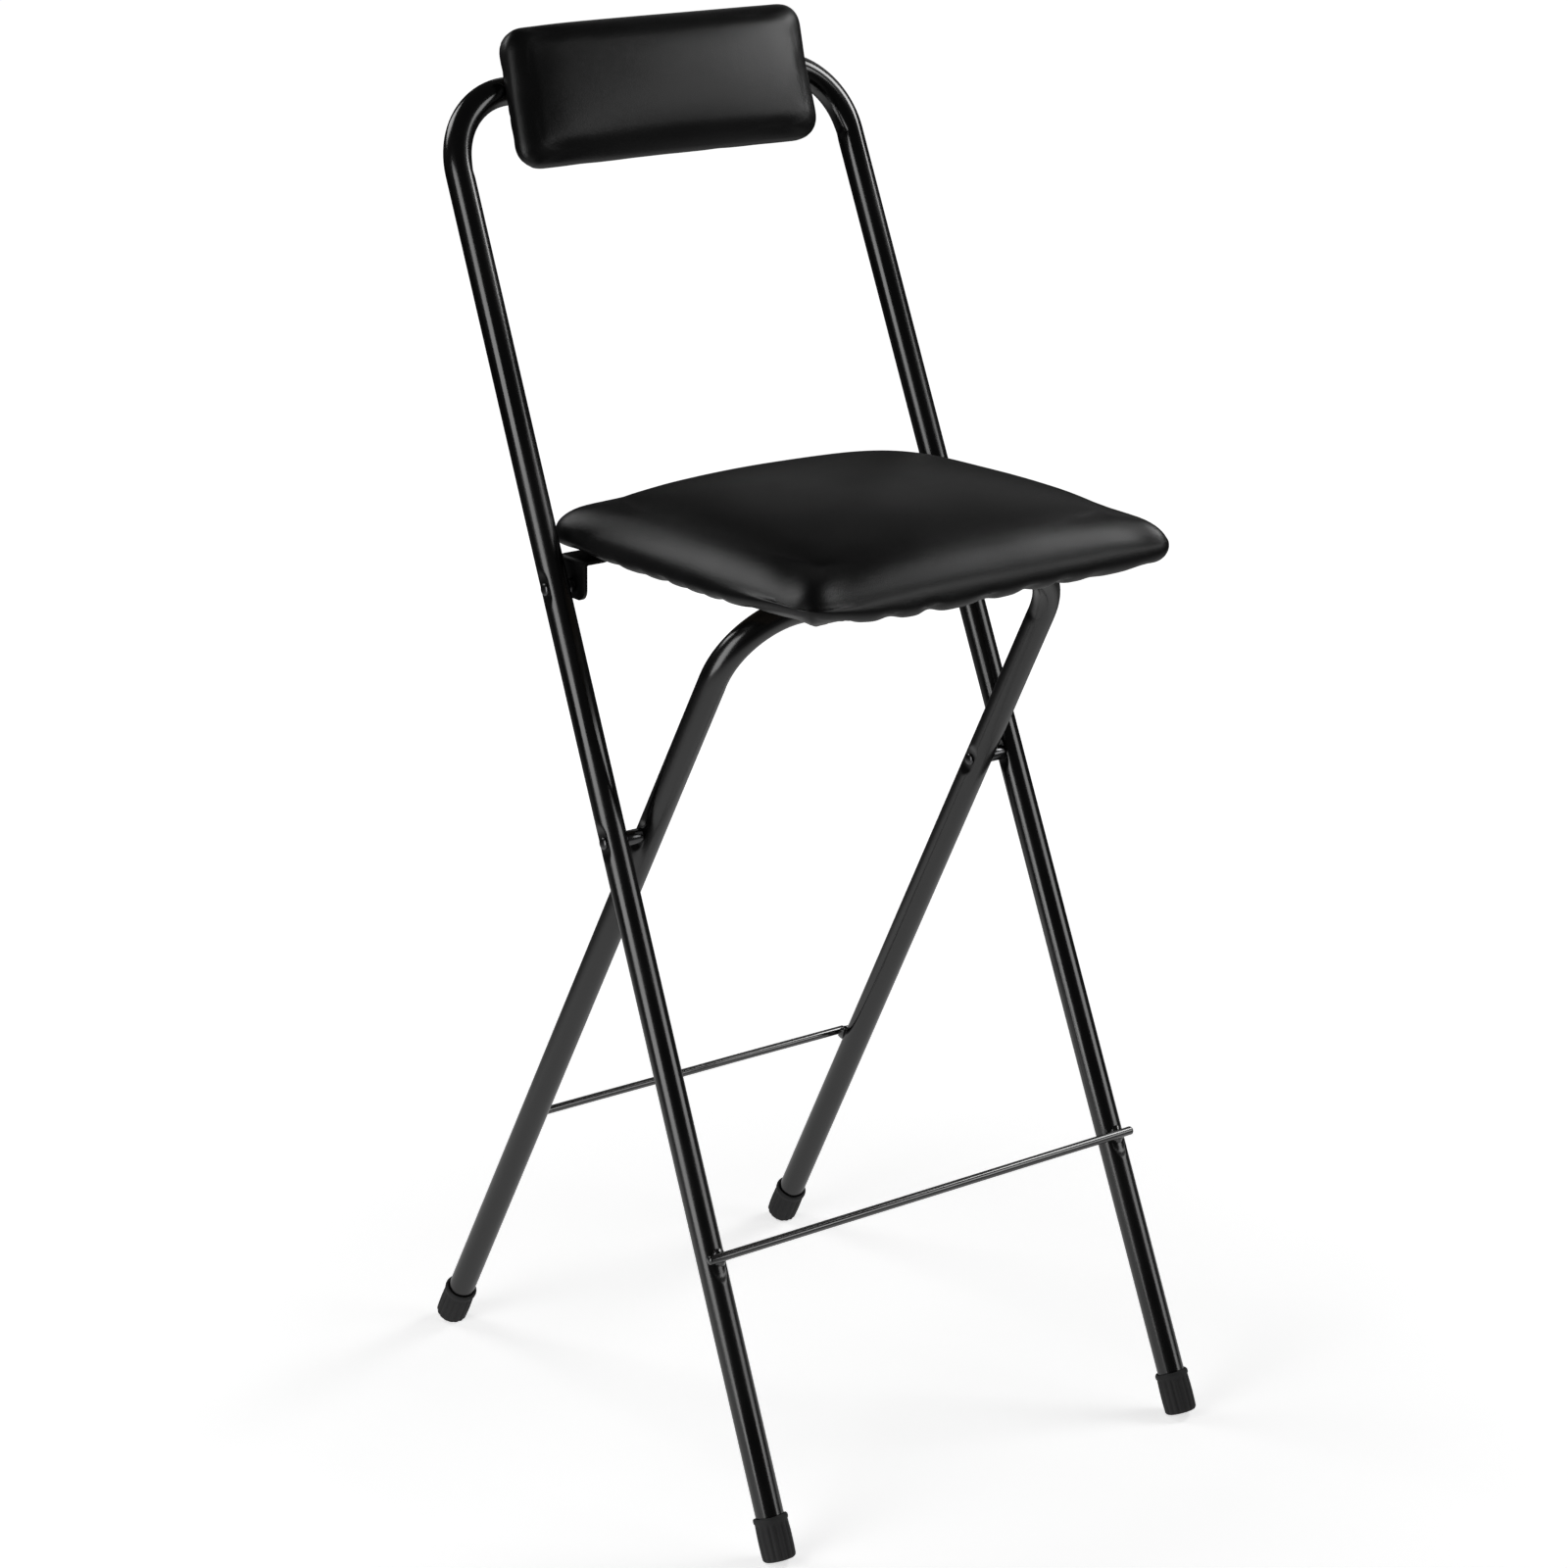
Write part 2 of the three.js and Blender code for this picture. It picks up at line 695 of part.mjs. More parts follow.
function seatBoard() {
  const blank = board(
    seatHalfWidth - seatBoardInset,
    seatHalfDepth - seatBoardInset,
    hemCornerRadius,
    seatBoardThickness,
  ).translate(0, seatCentreY, boardUnderside);
  const places = [
    ...strapScrewPlaces().map((x) => [x, strapScrewY]),
    ...Object.values(sides).map((side) => [side * saddleSpread, crossbar.y + saddleScrewBack]),
  ];
  return places.reduce((body, [x, y]) => body.subtract(bar(
    screwHoleRadius,
    new THREE.Vector3(x, y, boardUnderside - overrun),
    new THREE.Vector3(x, y, boardUnderside + screwInBoard + seatGap),
    screwFacets,
  )), solid(blank));
}

const backScrewHead = -tubeRadius - seatGap;

function backScrewHole(side, from, to) {
  const start = new THREE.Vector3(side * backScrewSpread, 0, from).applyMatrix4(backrestFrame);
  const end = new THREE.Vector3(side * backScrewSpread, 0, to).applyMatrix4(backrestFrame);
  return bar(screwHoleRadius, start, end, screwFacets);
}

function backBoard() {
  const blank = board(
    backHalfWidth - backBoardInset,
    backHalfHeight - backBoardInset,
    backCornerRadius - backBoardInset,
    backBoardThickness,
  ).translate(0, -backDrop, backOffset).applyMatrix4(backrestFrame);
  return Object.values(sides).reduce(
    (body, side) => body.subtract(backScrewHole(side, -overrun, backOffset + screwInBoard + seatGap)),
    solid(blank),
  );
}

function frontFrame() {
  let body = bentTube(
    frontLegAt,
    bowHeight,
    bowBendRadius,
    tubeEndHeight(frontLean),
    [legPivotHeight, seatPivotHeight],
  );
  for (const side of Object.values(sides)) {
    body = body.subtract(acrossHole(frontLegAt(side, legPivotHeight), holeRadius));
    body = body.subtract(acrossHole(frontLegAt(side, seatPivotHeight), holeRadius));
    body = body.subtract(backScrewHole(side, -tubeDiameter, tubeDiameter));
  }
  return body;
}

function rearFrame() {
  let body = bentTube(
    rearLegAt,
    crossbarHeight,
    crossbarBendRadius,
    tubeEndHeight(rearLean),
    [legPivotHeight],
  );
  for (const side of Object.values(sides)) {
    body = body.subtract(acrossHole(rearLegAt(side, legPivotHeight), holeRadius));
  }
  return body;
}

// Finishes
const glossBlack = { color: 0x0d0d0e, roughness: 0.22, metalness: 0.3 };
const satinBlack = { color: 0x2b2b2c, roughness: 0.45, metalness: 0.3 };
const zincBlack = { color: 0x1a1a1b, roughness: 0.35, metalness: 0.8 };
const rubber = { color: 0x161617, roughness: 0.8, metalness: 0 };
const nylon = { color: 0x131314, roughness: 0.6, metalness: 0 };
const plywood = { color: 0x8a6a48, roughness: 0.8, metalness: 0 };
const leatherette = { color: 0x111112, roughness: 0.42, metalness: 0 };

const stool = new THREE.Group();
stool.name = 'folding_bar_stool';

function addPiece(name, body, finish) {
  const mesh = new THREE.Mesh(surface(body), new THREE.MeshStandardMaterial(finish));
  mesh.name = name;
  stool.add(mesh);
}

addPiece('front_frame_tube', frontFrame(), glossBlack);
addPiece('rear_frame_tube', rearFrame(), satinBlack);
addPiece(
  'front_stretcher',
  stretcher(frontLegAt, frontRodHeight, frontRodDiameter, frontRodOverhang, frontWeldInboard, frontLean, -1),
  glossBlack,
);
addPiece(
  'rear_stretcher',
  stretcher(rearLegAt, rearRodHeight, rearRodDiameter, -rearRodShort, rearWeldInboard, rearLean, 1),
  satinBlack,
);

for (const [word, side] of Object.entries(sides)) {
  addPiece(`front_foot_cap_${word}`, footCap(frontLegAt, side, frontLean), rubber);
  addPiece(`rear_foot_cap_${word}`, footCap(rearLegAt, side, rearLean), rubber);

  const frontAxis = frontLegAt(side, legPivotHeight);
  const rearAxis = rearLegAt(side, legPivotHeight);
  addPiece(`leg_pivot_rivet_${word}`, rivet(
    alongX(legPivot, frontAxis.x + side * (landOffset + seatGap)),
    alongX(legPivot, rearAxis.x - side * (landOffset + seatGap)),
  ), zincBlack);
  addPiece(`leg_pivot_spacer_${word}`, spacer(
    alongX(legPivot, frontAxis.x - side * (landOffset + seatGap)),
    alongX(legPivot, rearAxis.x + side * (landOffset + seatGap)),
  ), zincBlack);

  const seatAxis = frontLegAt(side, seatPivotHeight);
  addPiece(`seat_pivot_rivet_${word}`, rivet(
    alongX(seatPivot, seatAxis.x + side * (landOffset + seatGap)),
    alongX(seatPivot, side * (strapHalfWidth - strapThickness - seatGap)),
  ), zincBlack);
  addPiece(`seat_pivot_spacer_${word}`, spacer(
    alongX(seatPivot, seatAxis.x - side * (landOffset + seatGap)),
    alongX(seatPivot, side * (strapHalfWidth + seatGap)),
  ), zincBlack);

  addPiece(`crossbar_saddle_${word}`, saddle(side), nylon);
  addPiece(`saddle_screw_${word}`, screw(
    screwInBoard + saddleTop + seatGap * 2,
    screwHeadDiameter,
    placed(side * saddleSpread, crossbar.y + saddleScrewBack, boardUnderside - saddleTop - seatGap * 2),
  ), zincBlack);

  addPiece(`backrest_screw_${word}`, screw(
    backOffset + screwInBoard - backScrewHead,
    backScrewHeadDiameter,
    backrestFrame.clone().multiply(placed(side * backScrewSpread, 0, backScrewHead)),
  ), zincBlack);
}

addPiece('seat_hinge_strap', hingeStrap(), satinBlack);
for (const x of strapScrewPlaces()) {
  const word = x < 0 ? 'left' : 'right';
  const place = Math.abs(x) > strapScrewInner ? 'outer' : 'inner';
  addPiece(`strap_screw_${word}_${place}`, screw(
    screwInBoard + strapThickness + seatGap * 2,
    screwHeadDiameter,
    placed(x, strapScrewY, boardUnderside - strapThickness - seatGap * 2),
  ), zincBlack);
}
addPiece('seat_board', seatBoard(), plywood);
addPiece('seat_cushion', seatCushion(), leatherette);
addPiece('backrest_board', backBoard(), plywood);
addPiece('backrest_cushion', backCushion(), leatherette);

export default stool;
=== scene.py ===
import bpy
import bmesh
import json
import math
from mathutils import Matrix, Vector, noise


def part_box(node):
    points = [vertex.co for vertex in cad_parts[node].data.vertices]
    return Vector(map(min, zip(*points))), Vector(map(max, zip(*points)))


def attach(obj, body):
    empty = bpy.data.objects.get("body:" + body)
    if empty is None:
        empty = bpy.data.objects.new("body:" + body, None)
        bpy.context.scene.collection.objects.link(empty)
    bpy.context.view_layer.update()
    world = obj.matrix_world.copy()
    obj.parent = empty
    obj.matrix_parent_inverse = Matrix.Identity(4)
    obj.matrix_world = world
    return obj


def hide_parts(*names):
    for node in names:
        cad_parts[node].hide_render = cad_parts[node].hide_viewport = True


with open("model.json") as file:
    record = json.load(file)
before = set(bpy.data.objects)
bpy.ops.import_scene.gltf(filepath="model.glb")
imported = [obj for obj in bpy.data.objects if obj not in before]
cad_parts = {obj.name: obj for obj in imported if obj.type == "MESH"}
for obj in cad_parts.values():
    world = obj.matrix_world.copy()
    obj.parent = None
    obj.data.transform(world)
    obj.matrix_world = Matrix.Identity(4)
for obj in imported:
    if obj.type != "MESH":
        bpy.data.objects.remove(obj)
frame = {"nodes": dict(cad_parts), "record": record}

# Folding bar stool: bent tube frames, rubber feet, riveted pivots, padded seat and backrest.
# Metres, +Z up, the sitter faces -Y.

scene = bpy.context.scene
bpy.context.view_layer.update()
seed = 7
merge = 1e-6  # vertices nearer than this are one

cameraSet = {"place": (-1.8396, -2.3725, 1.5066), "azimuth": -37.51, "elevation": 18.3, "roll": 0.727, "lens": 91.51}


def makeCamera(c):
    a, e, r = (math.radians(c[k]) for k in ("azimuth", "elevation", "roll"))
    right = Vector((math.cos(a), math.sin(a), 0))
    back = Vector((math.sin(a) * math.cos(e), -math.cos(a) * math.cos(e), math.sin(e)))
    up = back.cross(right)
    turned = right * math.cos(r) + up * math.sin(r)
    risen = up * math.cos(r) - right * math.sin(r)
    data = bpy.data.cameras.new("camera")
    data.lens = c["lens"]
    data.sensor_width = 36
    data.clip_end = 50
    cam = bpy.data.objects.new("camera", data)
    bpy.context.collection.objects.link(cam)
    cam.matrix_world = Matrix.Translation(c["place"]) @ Matrix((turned, risen, back)).transposed().to_4x4()
    scene.camera = cam


makeCamera(cameraSet)

# the two frames' centre lines, as in the CAD
tube = {"radius": 0.011, "around": 56, "ringStep": 0.02, "closeStep": 0.0019, "closeRings": 11, "apart": 0.004,
        "bendSteps": 22, "crimpReach": 0.012, "crimpWide": 0.0035}
front = {"lean": math.radians(24.29), "forward": 0.2525, "top": 1.0444, "halfWidth": 0.1888, "splay": 0.0169,
         "bend": 0.061, "foot": 0.0072}
rear = {"lean": math.radians(28.27), "top": 0.704, "halfWidth": 0.1589, "splay": 0.0185, "bend": 0.0605,
        "foot": 0.0078}
pivots = {"leg": 0.5115, "seat": 0.6924, "pressed": 0.0018, "flat": 0.0068, "fade": 0.0165}


def frontLeg(side, height):
    splay = front["splay"] * (1 - height / front["top"])
    return Vector((side * (front["halfWidth"] + splay), height * math.tan(front["lean"]) - front["forward"], height))


legPivot = frontLeg(0, pivots["leg"])


def rearLeg(side, height):
    splay = rear["splay"] * (1 - height / rear["top"])
    y = legPivot.y - (height - pivots["leg"]) * math.tan(rear["lean"])
    return Vector((side * (rear["halfWidth"] + splay), y, height))


def clamped(value):
    return min(1, max(0, value))


def eased(share):
    # a share of 0 to 1 without a corner at either end
    return share * share * (3 - 2 * share)


def vertsOf(geom):
    return [g for g in geom if isinstance(g, bmesh.types.BMVert)]


def edgesOf(geom):
    return [g for g in geom if isinstance(g, bmesh.types.BMEdge)]


def facing(across, heading, place):
    # x along across, z along heading
    y = heading.cross(across).normalized()
    x = y.cross(heading).normalized()
    return Matrix.Translation(place) @ Matrix((x, y, heading.normalized())).transposed().to_4x4()


def startRing(bm, radius, around, matrix):
    made = bmesh.ops.create_circle(bm, cap_ends=False, segments=around, radius=radius, matrix=matrix)
    return list({e for v in made["verts"] for e in v.link_edges})


def pushRing(bm, edges, move):
    made = bmesh.ops.extrude_edge_only(bm, edges=edges)["geom"]
    new = vertsOf(made)
    bmesh.ops.translate(bm, verts=new, vec=move)
    mine = set(new)
    return [e for e in edgesOf(made) if all(v in mine for v in e.verts)]


def turnRing(bm, edges, centre, axis, angle, steps):
    verts = list({v for e in edges for v in e.verts})
    made = bmesh.ops.spin(bm, geom=verts + edges, cent=centre, axis=axis, angle=angle, steps=steps, use_merge=False,
                          use_duplicate=False)
    return edgesOf(made["geom_last"])


def turnedForm(profile, around, matrix):
    # profile: (radius, height) pairs spun about Z, then placed
    bm = bmesh.new()
    verts = [bm.verts.new((r, 0, h)) for r, h in profile]
    edges = [bm.edges.new(pair) for pair in zip(verts, verts[1:])]
    bmesh.ops.spin(bm, geom=verts + edges, cent=(0, 0, 0), axis=(0, 0, 1), angle=2 * math.pi, steps=around,
                   use_merge=True, use_duplicate=False)
    bmesh.ops.remove_doubles(bm, verts=bm.verts, dist=merge)
    bmesh.ops.transform(bm, matrix=matrix, verts=bm.verts)
    return bm


def alongX(node):
    lo, hi = (Vector(c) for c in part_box(node))
    return lo.x, hi.x, Vector((0, (lo.y + hi.y) / 2, (lo.z + hi.z) / 2))


def sideways(x, centre):
    # a turned form that lies along the stool's width
    return facing(Vector((0, 1, 0)), Vector((1, 0, 0)), Vector((x, centre.y, centre.z)))


def joinForm(bm, other):
    mesh = bpy.data.meshes.new("join")
    other.to_mesh(mesh)
    other.free()
    bm.from_mesh(mesh)
    bpy.data.meshes.remove(mesh)


def shadeForm(bm, sharpAngle):
    # smooth faces, with a hard edge where two of them meet at more than the angle in degrees
    for f in bm.faces:
        f.smooth = True
    for e in bm.edges:
        if sharpAngle and len(e.link_faces) == 2 and e.calc_face_angle(0) > math.radians(sharpAngle):
            e.smooth = False


def finishMesh(bm, name, body, materials, nodes=(), sharpAngle=None):
    bmesh.ops.remove_doubles(bm, verts=bm.verts, dist=merge)
    bmesh.ops.recalc_face_normals(bm, faces=bm.faces)
    shadeForm(bm, sharpAngle)
    mesh = bpy.data.meshes.new(name)
    bm.to_mesh(mesh)
    bm.free()
    return placePiece(mesh, name, body, materials, nodes)


def placePiece(mesh, name, body, materials, nodes=()):
    piece = bpy.data.objects.new(name, mesh)
    bpy.context.collection.objects.link(piece)
    mesh.materials.clear()
    for m in materials:
        mesh.materials.append(m)
    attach(piece, body)
    if nodes:
        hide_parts(*nodes)
    return piece


colorA, colorB, colorOut = 6, 7, 2  # the colour sockets of a Mix node
rubbed, dusty = (0.16, 0.16, 0.165, 1), (0.25, 0.25, 0.25, 1)


def newGroup(name, inputs, outputs):
    group = bpy.data.node_groups.new(name, "ShaderNodeTree")
    for label, kind, value in inputs:
        socket = group.interface.new_socket(name=label, in_out="INPUT", socket_type=kind)
        if value is not None:
            socket.default_value = value
    for label, kind in outputs:
        group.interface.new_socket(name=label, in_out="OUTPUT", socket_type=kind)
    return group, group.nodes.new("NodeGroupInput"), group.nodes.new("NodeGroupOutput")


def addNode(tree, kind, values=None, **props):
    node = tree.nodes.new(kind)
    for key, value in props.items():
        setattr(node, key, value)
    for key, value in (values or {}).items():
        node.inputs[key].default_value = value
    return node


def paintGroup():
    # even paint: a slow change of tone, fine dust and a shallow orange peel
    g, i, o = newGroup("paintSurface", [("Color", "NodeSocketColor", (0.02, 0.02, 0.02, 1)),
                                        ("Tone", "NodeSocketFloat", 0.15), ("Dust", "NodeSocketFloat", 0.05),
                                        ("Roughness", "NodeSocketFloat", 0.2), ("Peel", "NodeSocketFloat", 0.3)],
                       [("Color", "NodeSocketColor"), ("Roughness", "NodeSocketFloat"),
                        ("Height", "NodeSocketFloat")])
    place = addNode(g, "ShaderNodeTexCoord")
    slow = addNode(g, "ShaderNodeTexNoise", {"Scale": 9.0, "Detail": 2.0})
    fine = addNode(g, "ShaderNodeTexNoise", {"Scale": 420.0, "Detail": 2.0})
    dust = addNode(g, "ShaderNodeTexNoise", {"Scale": 1500.0, "Detail": 1.0})
    for n in (slow, fine, dust):
        g.links.new(place.outputs["Object"], n.inputs["Vector"])
    toneMap = addNode(g, "ShaderNodeMapRange", {"From Min": 0.35, "From Max": 0.65, "To Min": -1.0, "To Max": 1.0})
    g.links.new(slow.outputs["Fac"], toneMap.inputs["Value"])
    toneBy = addNode(g, "ShaderNodeMath", {2: 1.0}, operation="MULTIPLY_ADD")
    g.links.new(toneMap.outputs["Result"], toneBy.inputs[0])
    g.links.new(i.outputs["Tone"], toneBy.inputs[1])
    tinted = addNode(g, "ShaderNodeVectorMath", operation="SCALE")
    g.links.new(i.outputs["Color"], tinted.inputs[0])
    g.links.new(toneBy.outputs[0], tinted.inputs["Scale"])
    speck = addNode(g, "ShaderNodeMapRange", {"From Min": 0.66, "From Max": 0.78, "To Min": 0.0, "To Max": 1.0})
    g.links.new(dust.outputs["Fac"], speck.inputs["Value"])
    speckBy = addNode(g, "ShaderNodeMath", operation="MULTIPLY")
    g.links.new(speck.outputs["Result"], speckBy.inputs[0])
    g.links.new(i.outputs["Dust"], speckBy.inputs[1])
    mix = addNode(g, "ShaderNodeMix", {colorB: dusty}, data_type="RGBA")
    g.links.new(speckBy.outputs[0], mix.inputs["Factor"])
    g.links.new(tinted.outputs[0], mix.inputs[colorA])
    g.links.new(mix.outputs[colorOut], o.inputs["Color"])
    rough = addNode(g, "ShaderNodeMath", {1: 0.06}, operation="MULTIPLY_ADD")
    g.links.new(toneMap.outputs["Result"], rough.inputs[0])
    g.links.new(i.outputs["Roughness"], rough.inputs[2])
    g.links.new(rough.outputs[0], o.inputs["Roughness"])
    high = addNode(g, "ShaderNodeMath", operation="MULTIPLY")
    g.links.new(fine.outputs["Fac"], high.inputs[0])
    g.links.new(i.outputs["Peel"], high.inputs[1])
    g.links.new(high.outputs[0], o.inputs["Height"])
    return g


def wearGroup():
    # edges that rub: pale where the surface turns sharply, broken up by noise
    g, i, o = newGroup("edgeWear", [("Amount", "NodeSocketFloat", 0.5), ("Scale", "NodeSocketFloat", 180.0)],
                       [("Mask", "NodeSocketFloat")])
    geo = addNode(g, "ShaderNodeNewGeometry")
    place = addNode(g, "ShaderNodeTexCoord")
    point = addNode(g, "ShaderNodeMapRange", {"From Min": 0.53, "From Max": 0.62})
    g.links.new(geo.outputs["Pointiness"], point.inputs["Value"])
    grain = addNode(g, "ShaderNodeTexNoise", {"Detail": 3.0})
    g.links.new(place.outputs["Object"], grain.inputs["Vector"])
    g.links.new(i.outputs["Scale"], grain.inputs["Scale"])
    cut = addNode(g, "ShaderNodeMapRange", {"From Min": 0.4, "From Max": 0.65})
    g.links.new(grain.outputs["Fac"], cut.inputs["Value"])
    both = addNode(g, "ShaderNodeMath", operation="MULTIPLY")
    g.links.new(point.outputs["Result"], both.inputs[0])
    g.links.new(cut.outputs["Result"], both.inputs[1])
    by = addNode(g, "ShaderNodeMath", operation="MULTIPLY", use_clamp=True)
    g.links.new(both.outputs[0], by.inputs[0])
    g.links.new(i.outputs["Amount"], by.inputs[1])
    g.links.new(by.outputs[0], o.inputs["Mask"])
    return g


paintSurface = paintGroup()
edgeWear = wearGroup()


def painted(name, color, roughness, peel, dust, coat, metallic=0.0, wear=0.0, specular=0.5):
    m = bpy.data.materials.new(name)
    m.use_nodes = True
    t = m.node_tree
    shader = t.nodes["Principled BSDF"]
    group = addNode(t, "ShaderNodeGroup", node_tree=paintSurface)
    group.inputs["Color"].default_value = (*color, 1)
    group.inputs["Roughness"].default_value = roughness
    group.inputs["Peel"].default_value = peel
    group.inputs["Dust"].default_value = dust
    wearNode = addNode(t, "ShaderNodeGroup", node_tree=edgeWear)
    wearNode.inputs["Amount"].default_value = wear
    mix = addNode(t, "ShaderNodeMix", {colorB: rubbed}, data_type="RGBA")
    t.links.new(wearNode.outputs["Mask"], mix.inputs["Factor"])
    t.links.new(group.outputs["Color"], mix.inputs[colorA])
    t.links.new(mix.outputs[colorOut], shader.inputs["Base Color"])
    t.links.new(group.outputs["Roughness"], shader.inputs["Roughness"])
    bump = addNode(t, "ShaderNodeBump", {"Strength": 0.25, "Distance": 0.0002})
    t.links.new(group.outputs["Height"], bump.inputs["Height"])
    t.links.new(bump.outputs["Normal"], shader.inputs["Normal"])
    shader.inputs["Metallic"].default_value = metallic
    shader.inputs["Coat Weight"].default_value = coat
    shader.inputs["Coat Roughness"].default_value = 0.08
    shader.inputs["Specular IOR Level"].default_value = specular
    return m


slots = {s["node"]: s["material_slot"] for s in frame["record"]["subparts"]}
# colour, roughness, orange peel, dust, coat
glossPaint = painted("glossBlackPaint", (0.0014, 0.0014, 0.0015), 0.2, 0.25, 0.005, 0.0, wear=0.06, specular=1.0)
rodPaint = painted("rodBlackPaint", (0.0018, 0.0018, 0.0019), 0.2, 0.25, 0.005, 1.0, wear=0.06, specular=1.0)
strapPaint = painted("strapBlackPaint", (0.002, 0.002, 0.002), 0.4, 0.4, 0.004, 0.0, wear=0.08, specular=0.25)
rivetSteel = painted("blackRivetSteel", (0.12, 0.12, 0.123), 0.24, 0.2, 0.0, 0.0, metallic=1.0, wear=0.3)
screwSteel = painted("blackScrewSteel", (0.05, 0.05, 0.052), 0.35, 0.2, 0.0, 0.0, metallic=0.9, wear=0.5)


def leatherette(name, color, roughness, grainScale):
    m = bpy.data.materials.new(name)
    m.use_nodes = True
    t = m.node_tree
    shader = t.nodes["Principled BSDF"]
    place = addNode(t, "ShaderNodeTexCoord")
    cells = addNode(t, "ShaderNodeTexVoronoi", {"Scale": grainScale, "Randomness": 1.0}, feature="DISTANCE_TO_EDGE")
    warp = addNode(t, "ShaderNodeTexNoise", {"Scale": grainScale * 0.6, "Detail": 3.0})
    slow = addNode(t, "ShaderNodeTexNoise", {"Scale": 14.0, "Detail": 4.0})
    for n in (cells, warp, slow):
        t.links.new(place.outputs["Object"], n.inputs["Vector"])
    ridge = addNode(t, "ShaderNodeMapRange", {"From Min": 0.0, "From Max": 0.18})
    t.links.new(cells.outputs["Distance"], ridge.inputs["Value"])
    high = addNode(t, "ShaderNodeMath", {1: 0.5}, operation="MULTIPLY_ADD")
    t.links.new(warp.outputs["Fac"], high.inputs[0])
    t.links.new(ridge.outputs["Result"], high.inputs[2])
    bump = addNode(t, "ShaderNodeBump", {"Strength": 0.16, "Distance": 0.00025})
    t.links.new(high.outputs[0], bump.inputs["Height"])
    t.links.new(bump.outputs["Normal"], shader.inputs["Normal"])
    tone = addNode(t, "ShaderNodeMix", data_type="RGBA")
    t.links.new(slow.outputs["Fac"], tone.inputs["Factor"])
    tone.inputs[colorA].default_value = (*[c * 0.75 for c in color], 1)
    tone.inputs[colorB].default_value = (*[c * 1.25 for c in color], 1)
    # painted shade: the base colour is darkened down to 0.55 in the grain's creases, where the cells meet and the bump
    # is lowest
    creaseShade = addNode(t, "ShaderNodeMix", data_type="RGBA", blend_type="MULTIPLY")
    creaseShade.inputs["Factor"].default_value = 0.5
    t.links.new(tone.outputs[colorOut], creaseShade.inputs[colorA])
    creaseShadeLevel = addNode(t, "ShaderNodeMapRange", {"From Min": 0.0, "From Max": 1.0, "To Min": 0.55, "To Max": 1.0})
    t.links.new(ridge.outputs["Result"], creaseShadeLevel.inputs["Value"])
    t.links.new(creaseShadeLevel.outputs["Result"], creaseShade.inputs[colorB])
    t.links.new(creaseShade.outputs[colorOut], shader.inputs["Base Color"])
    rough = addNode(t, "ShaderNodeMath", {1: 0.16, 2: roughness - 0.08}, operation="MULTIPLY_ADD")
    t.links.new(slow.outputs["Fac"], rough.inputs[0])
    t.links.new(rough.outputs[0], shader.inputs["Roughness"])
    shader.inputs["Specular IOR Level"].default_value = 0.42
    return m


seatSkin = leatherette("seatLeatherette", (0.004, 0.004, 0.0042), 0.36, 900.0)


def rubberMaterial():
    m = bpy.data.materials.new("footRubber")
    m.use_nodes = True
    t = m.node_tree
    shader = t.nodes["Principled BSDF"]
    place = addNode(t, "ShaderNodeTexCoord")
    fine = addNode(t, "ShaderNodeTexNoise", {"Scale": 900.0, "Detail": 4.0})
    slow = addNode(t, "ShaderNodeTexNoise", {"Scale": 60.0, "Detail": 3.0})
    for n in (fine, slow):
        t.links.new(place.outputs["Object"], n.inputs["Vector"])
    tone = addNode(t, "ShaderNodeMix", data_type="RGBA")
    t.links.new(slow.outputs["Fac"], tone.inputs["Factor"])
    tone.inputs[colorA].default_value = (0.02, 0.02, 0.021, 1)
    tone.inputs[colorB].default_value = (0.036, 0.036, 0.036, 1)
    t.links.new(tone.outputs[colorOut], shader.inputs["Base Color"])
    rough = addNode(t, "ShaderNodeMapRange", {"To Min": 0.55, "To Max": 0.8})
    t.links.new(fine.outputs["Fac"], rough.inputs["Value"])
    t.links.new(rough.outputs["Result"], shader.inputs["Roughness"])
    bump = addNode(t, "ShaderNodeBump", {"Strength": 0.3, "Distance": 0.0002})
    t.links.new(fine.outputs["Fac"], bump.inputs["Height"])
    t.links.new(bump.outputs["Normal"], shader.inputs["Normal"])
    shader.inputs["Specular IOR Level"].default_value = 0.35
    return m


footRubber = rubberMaterial()


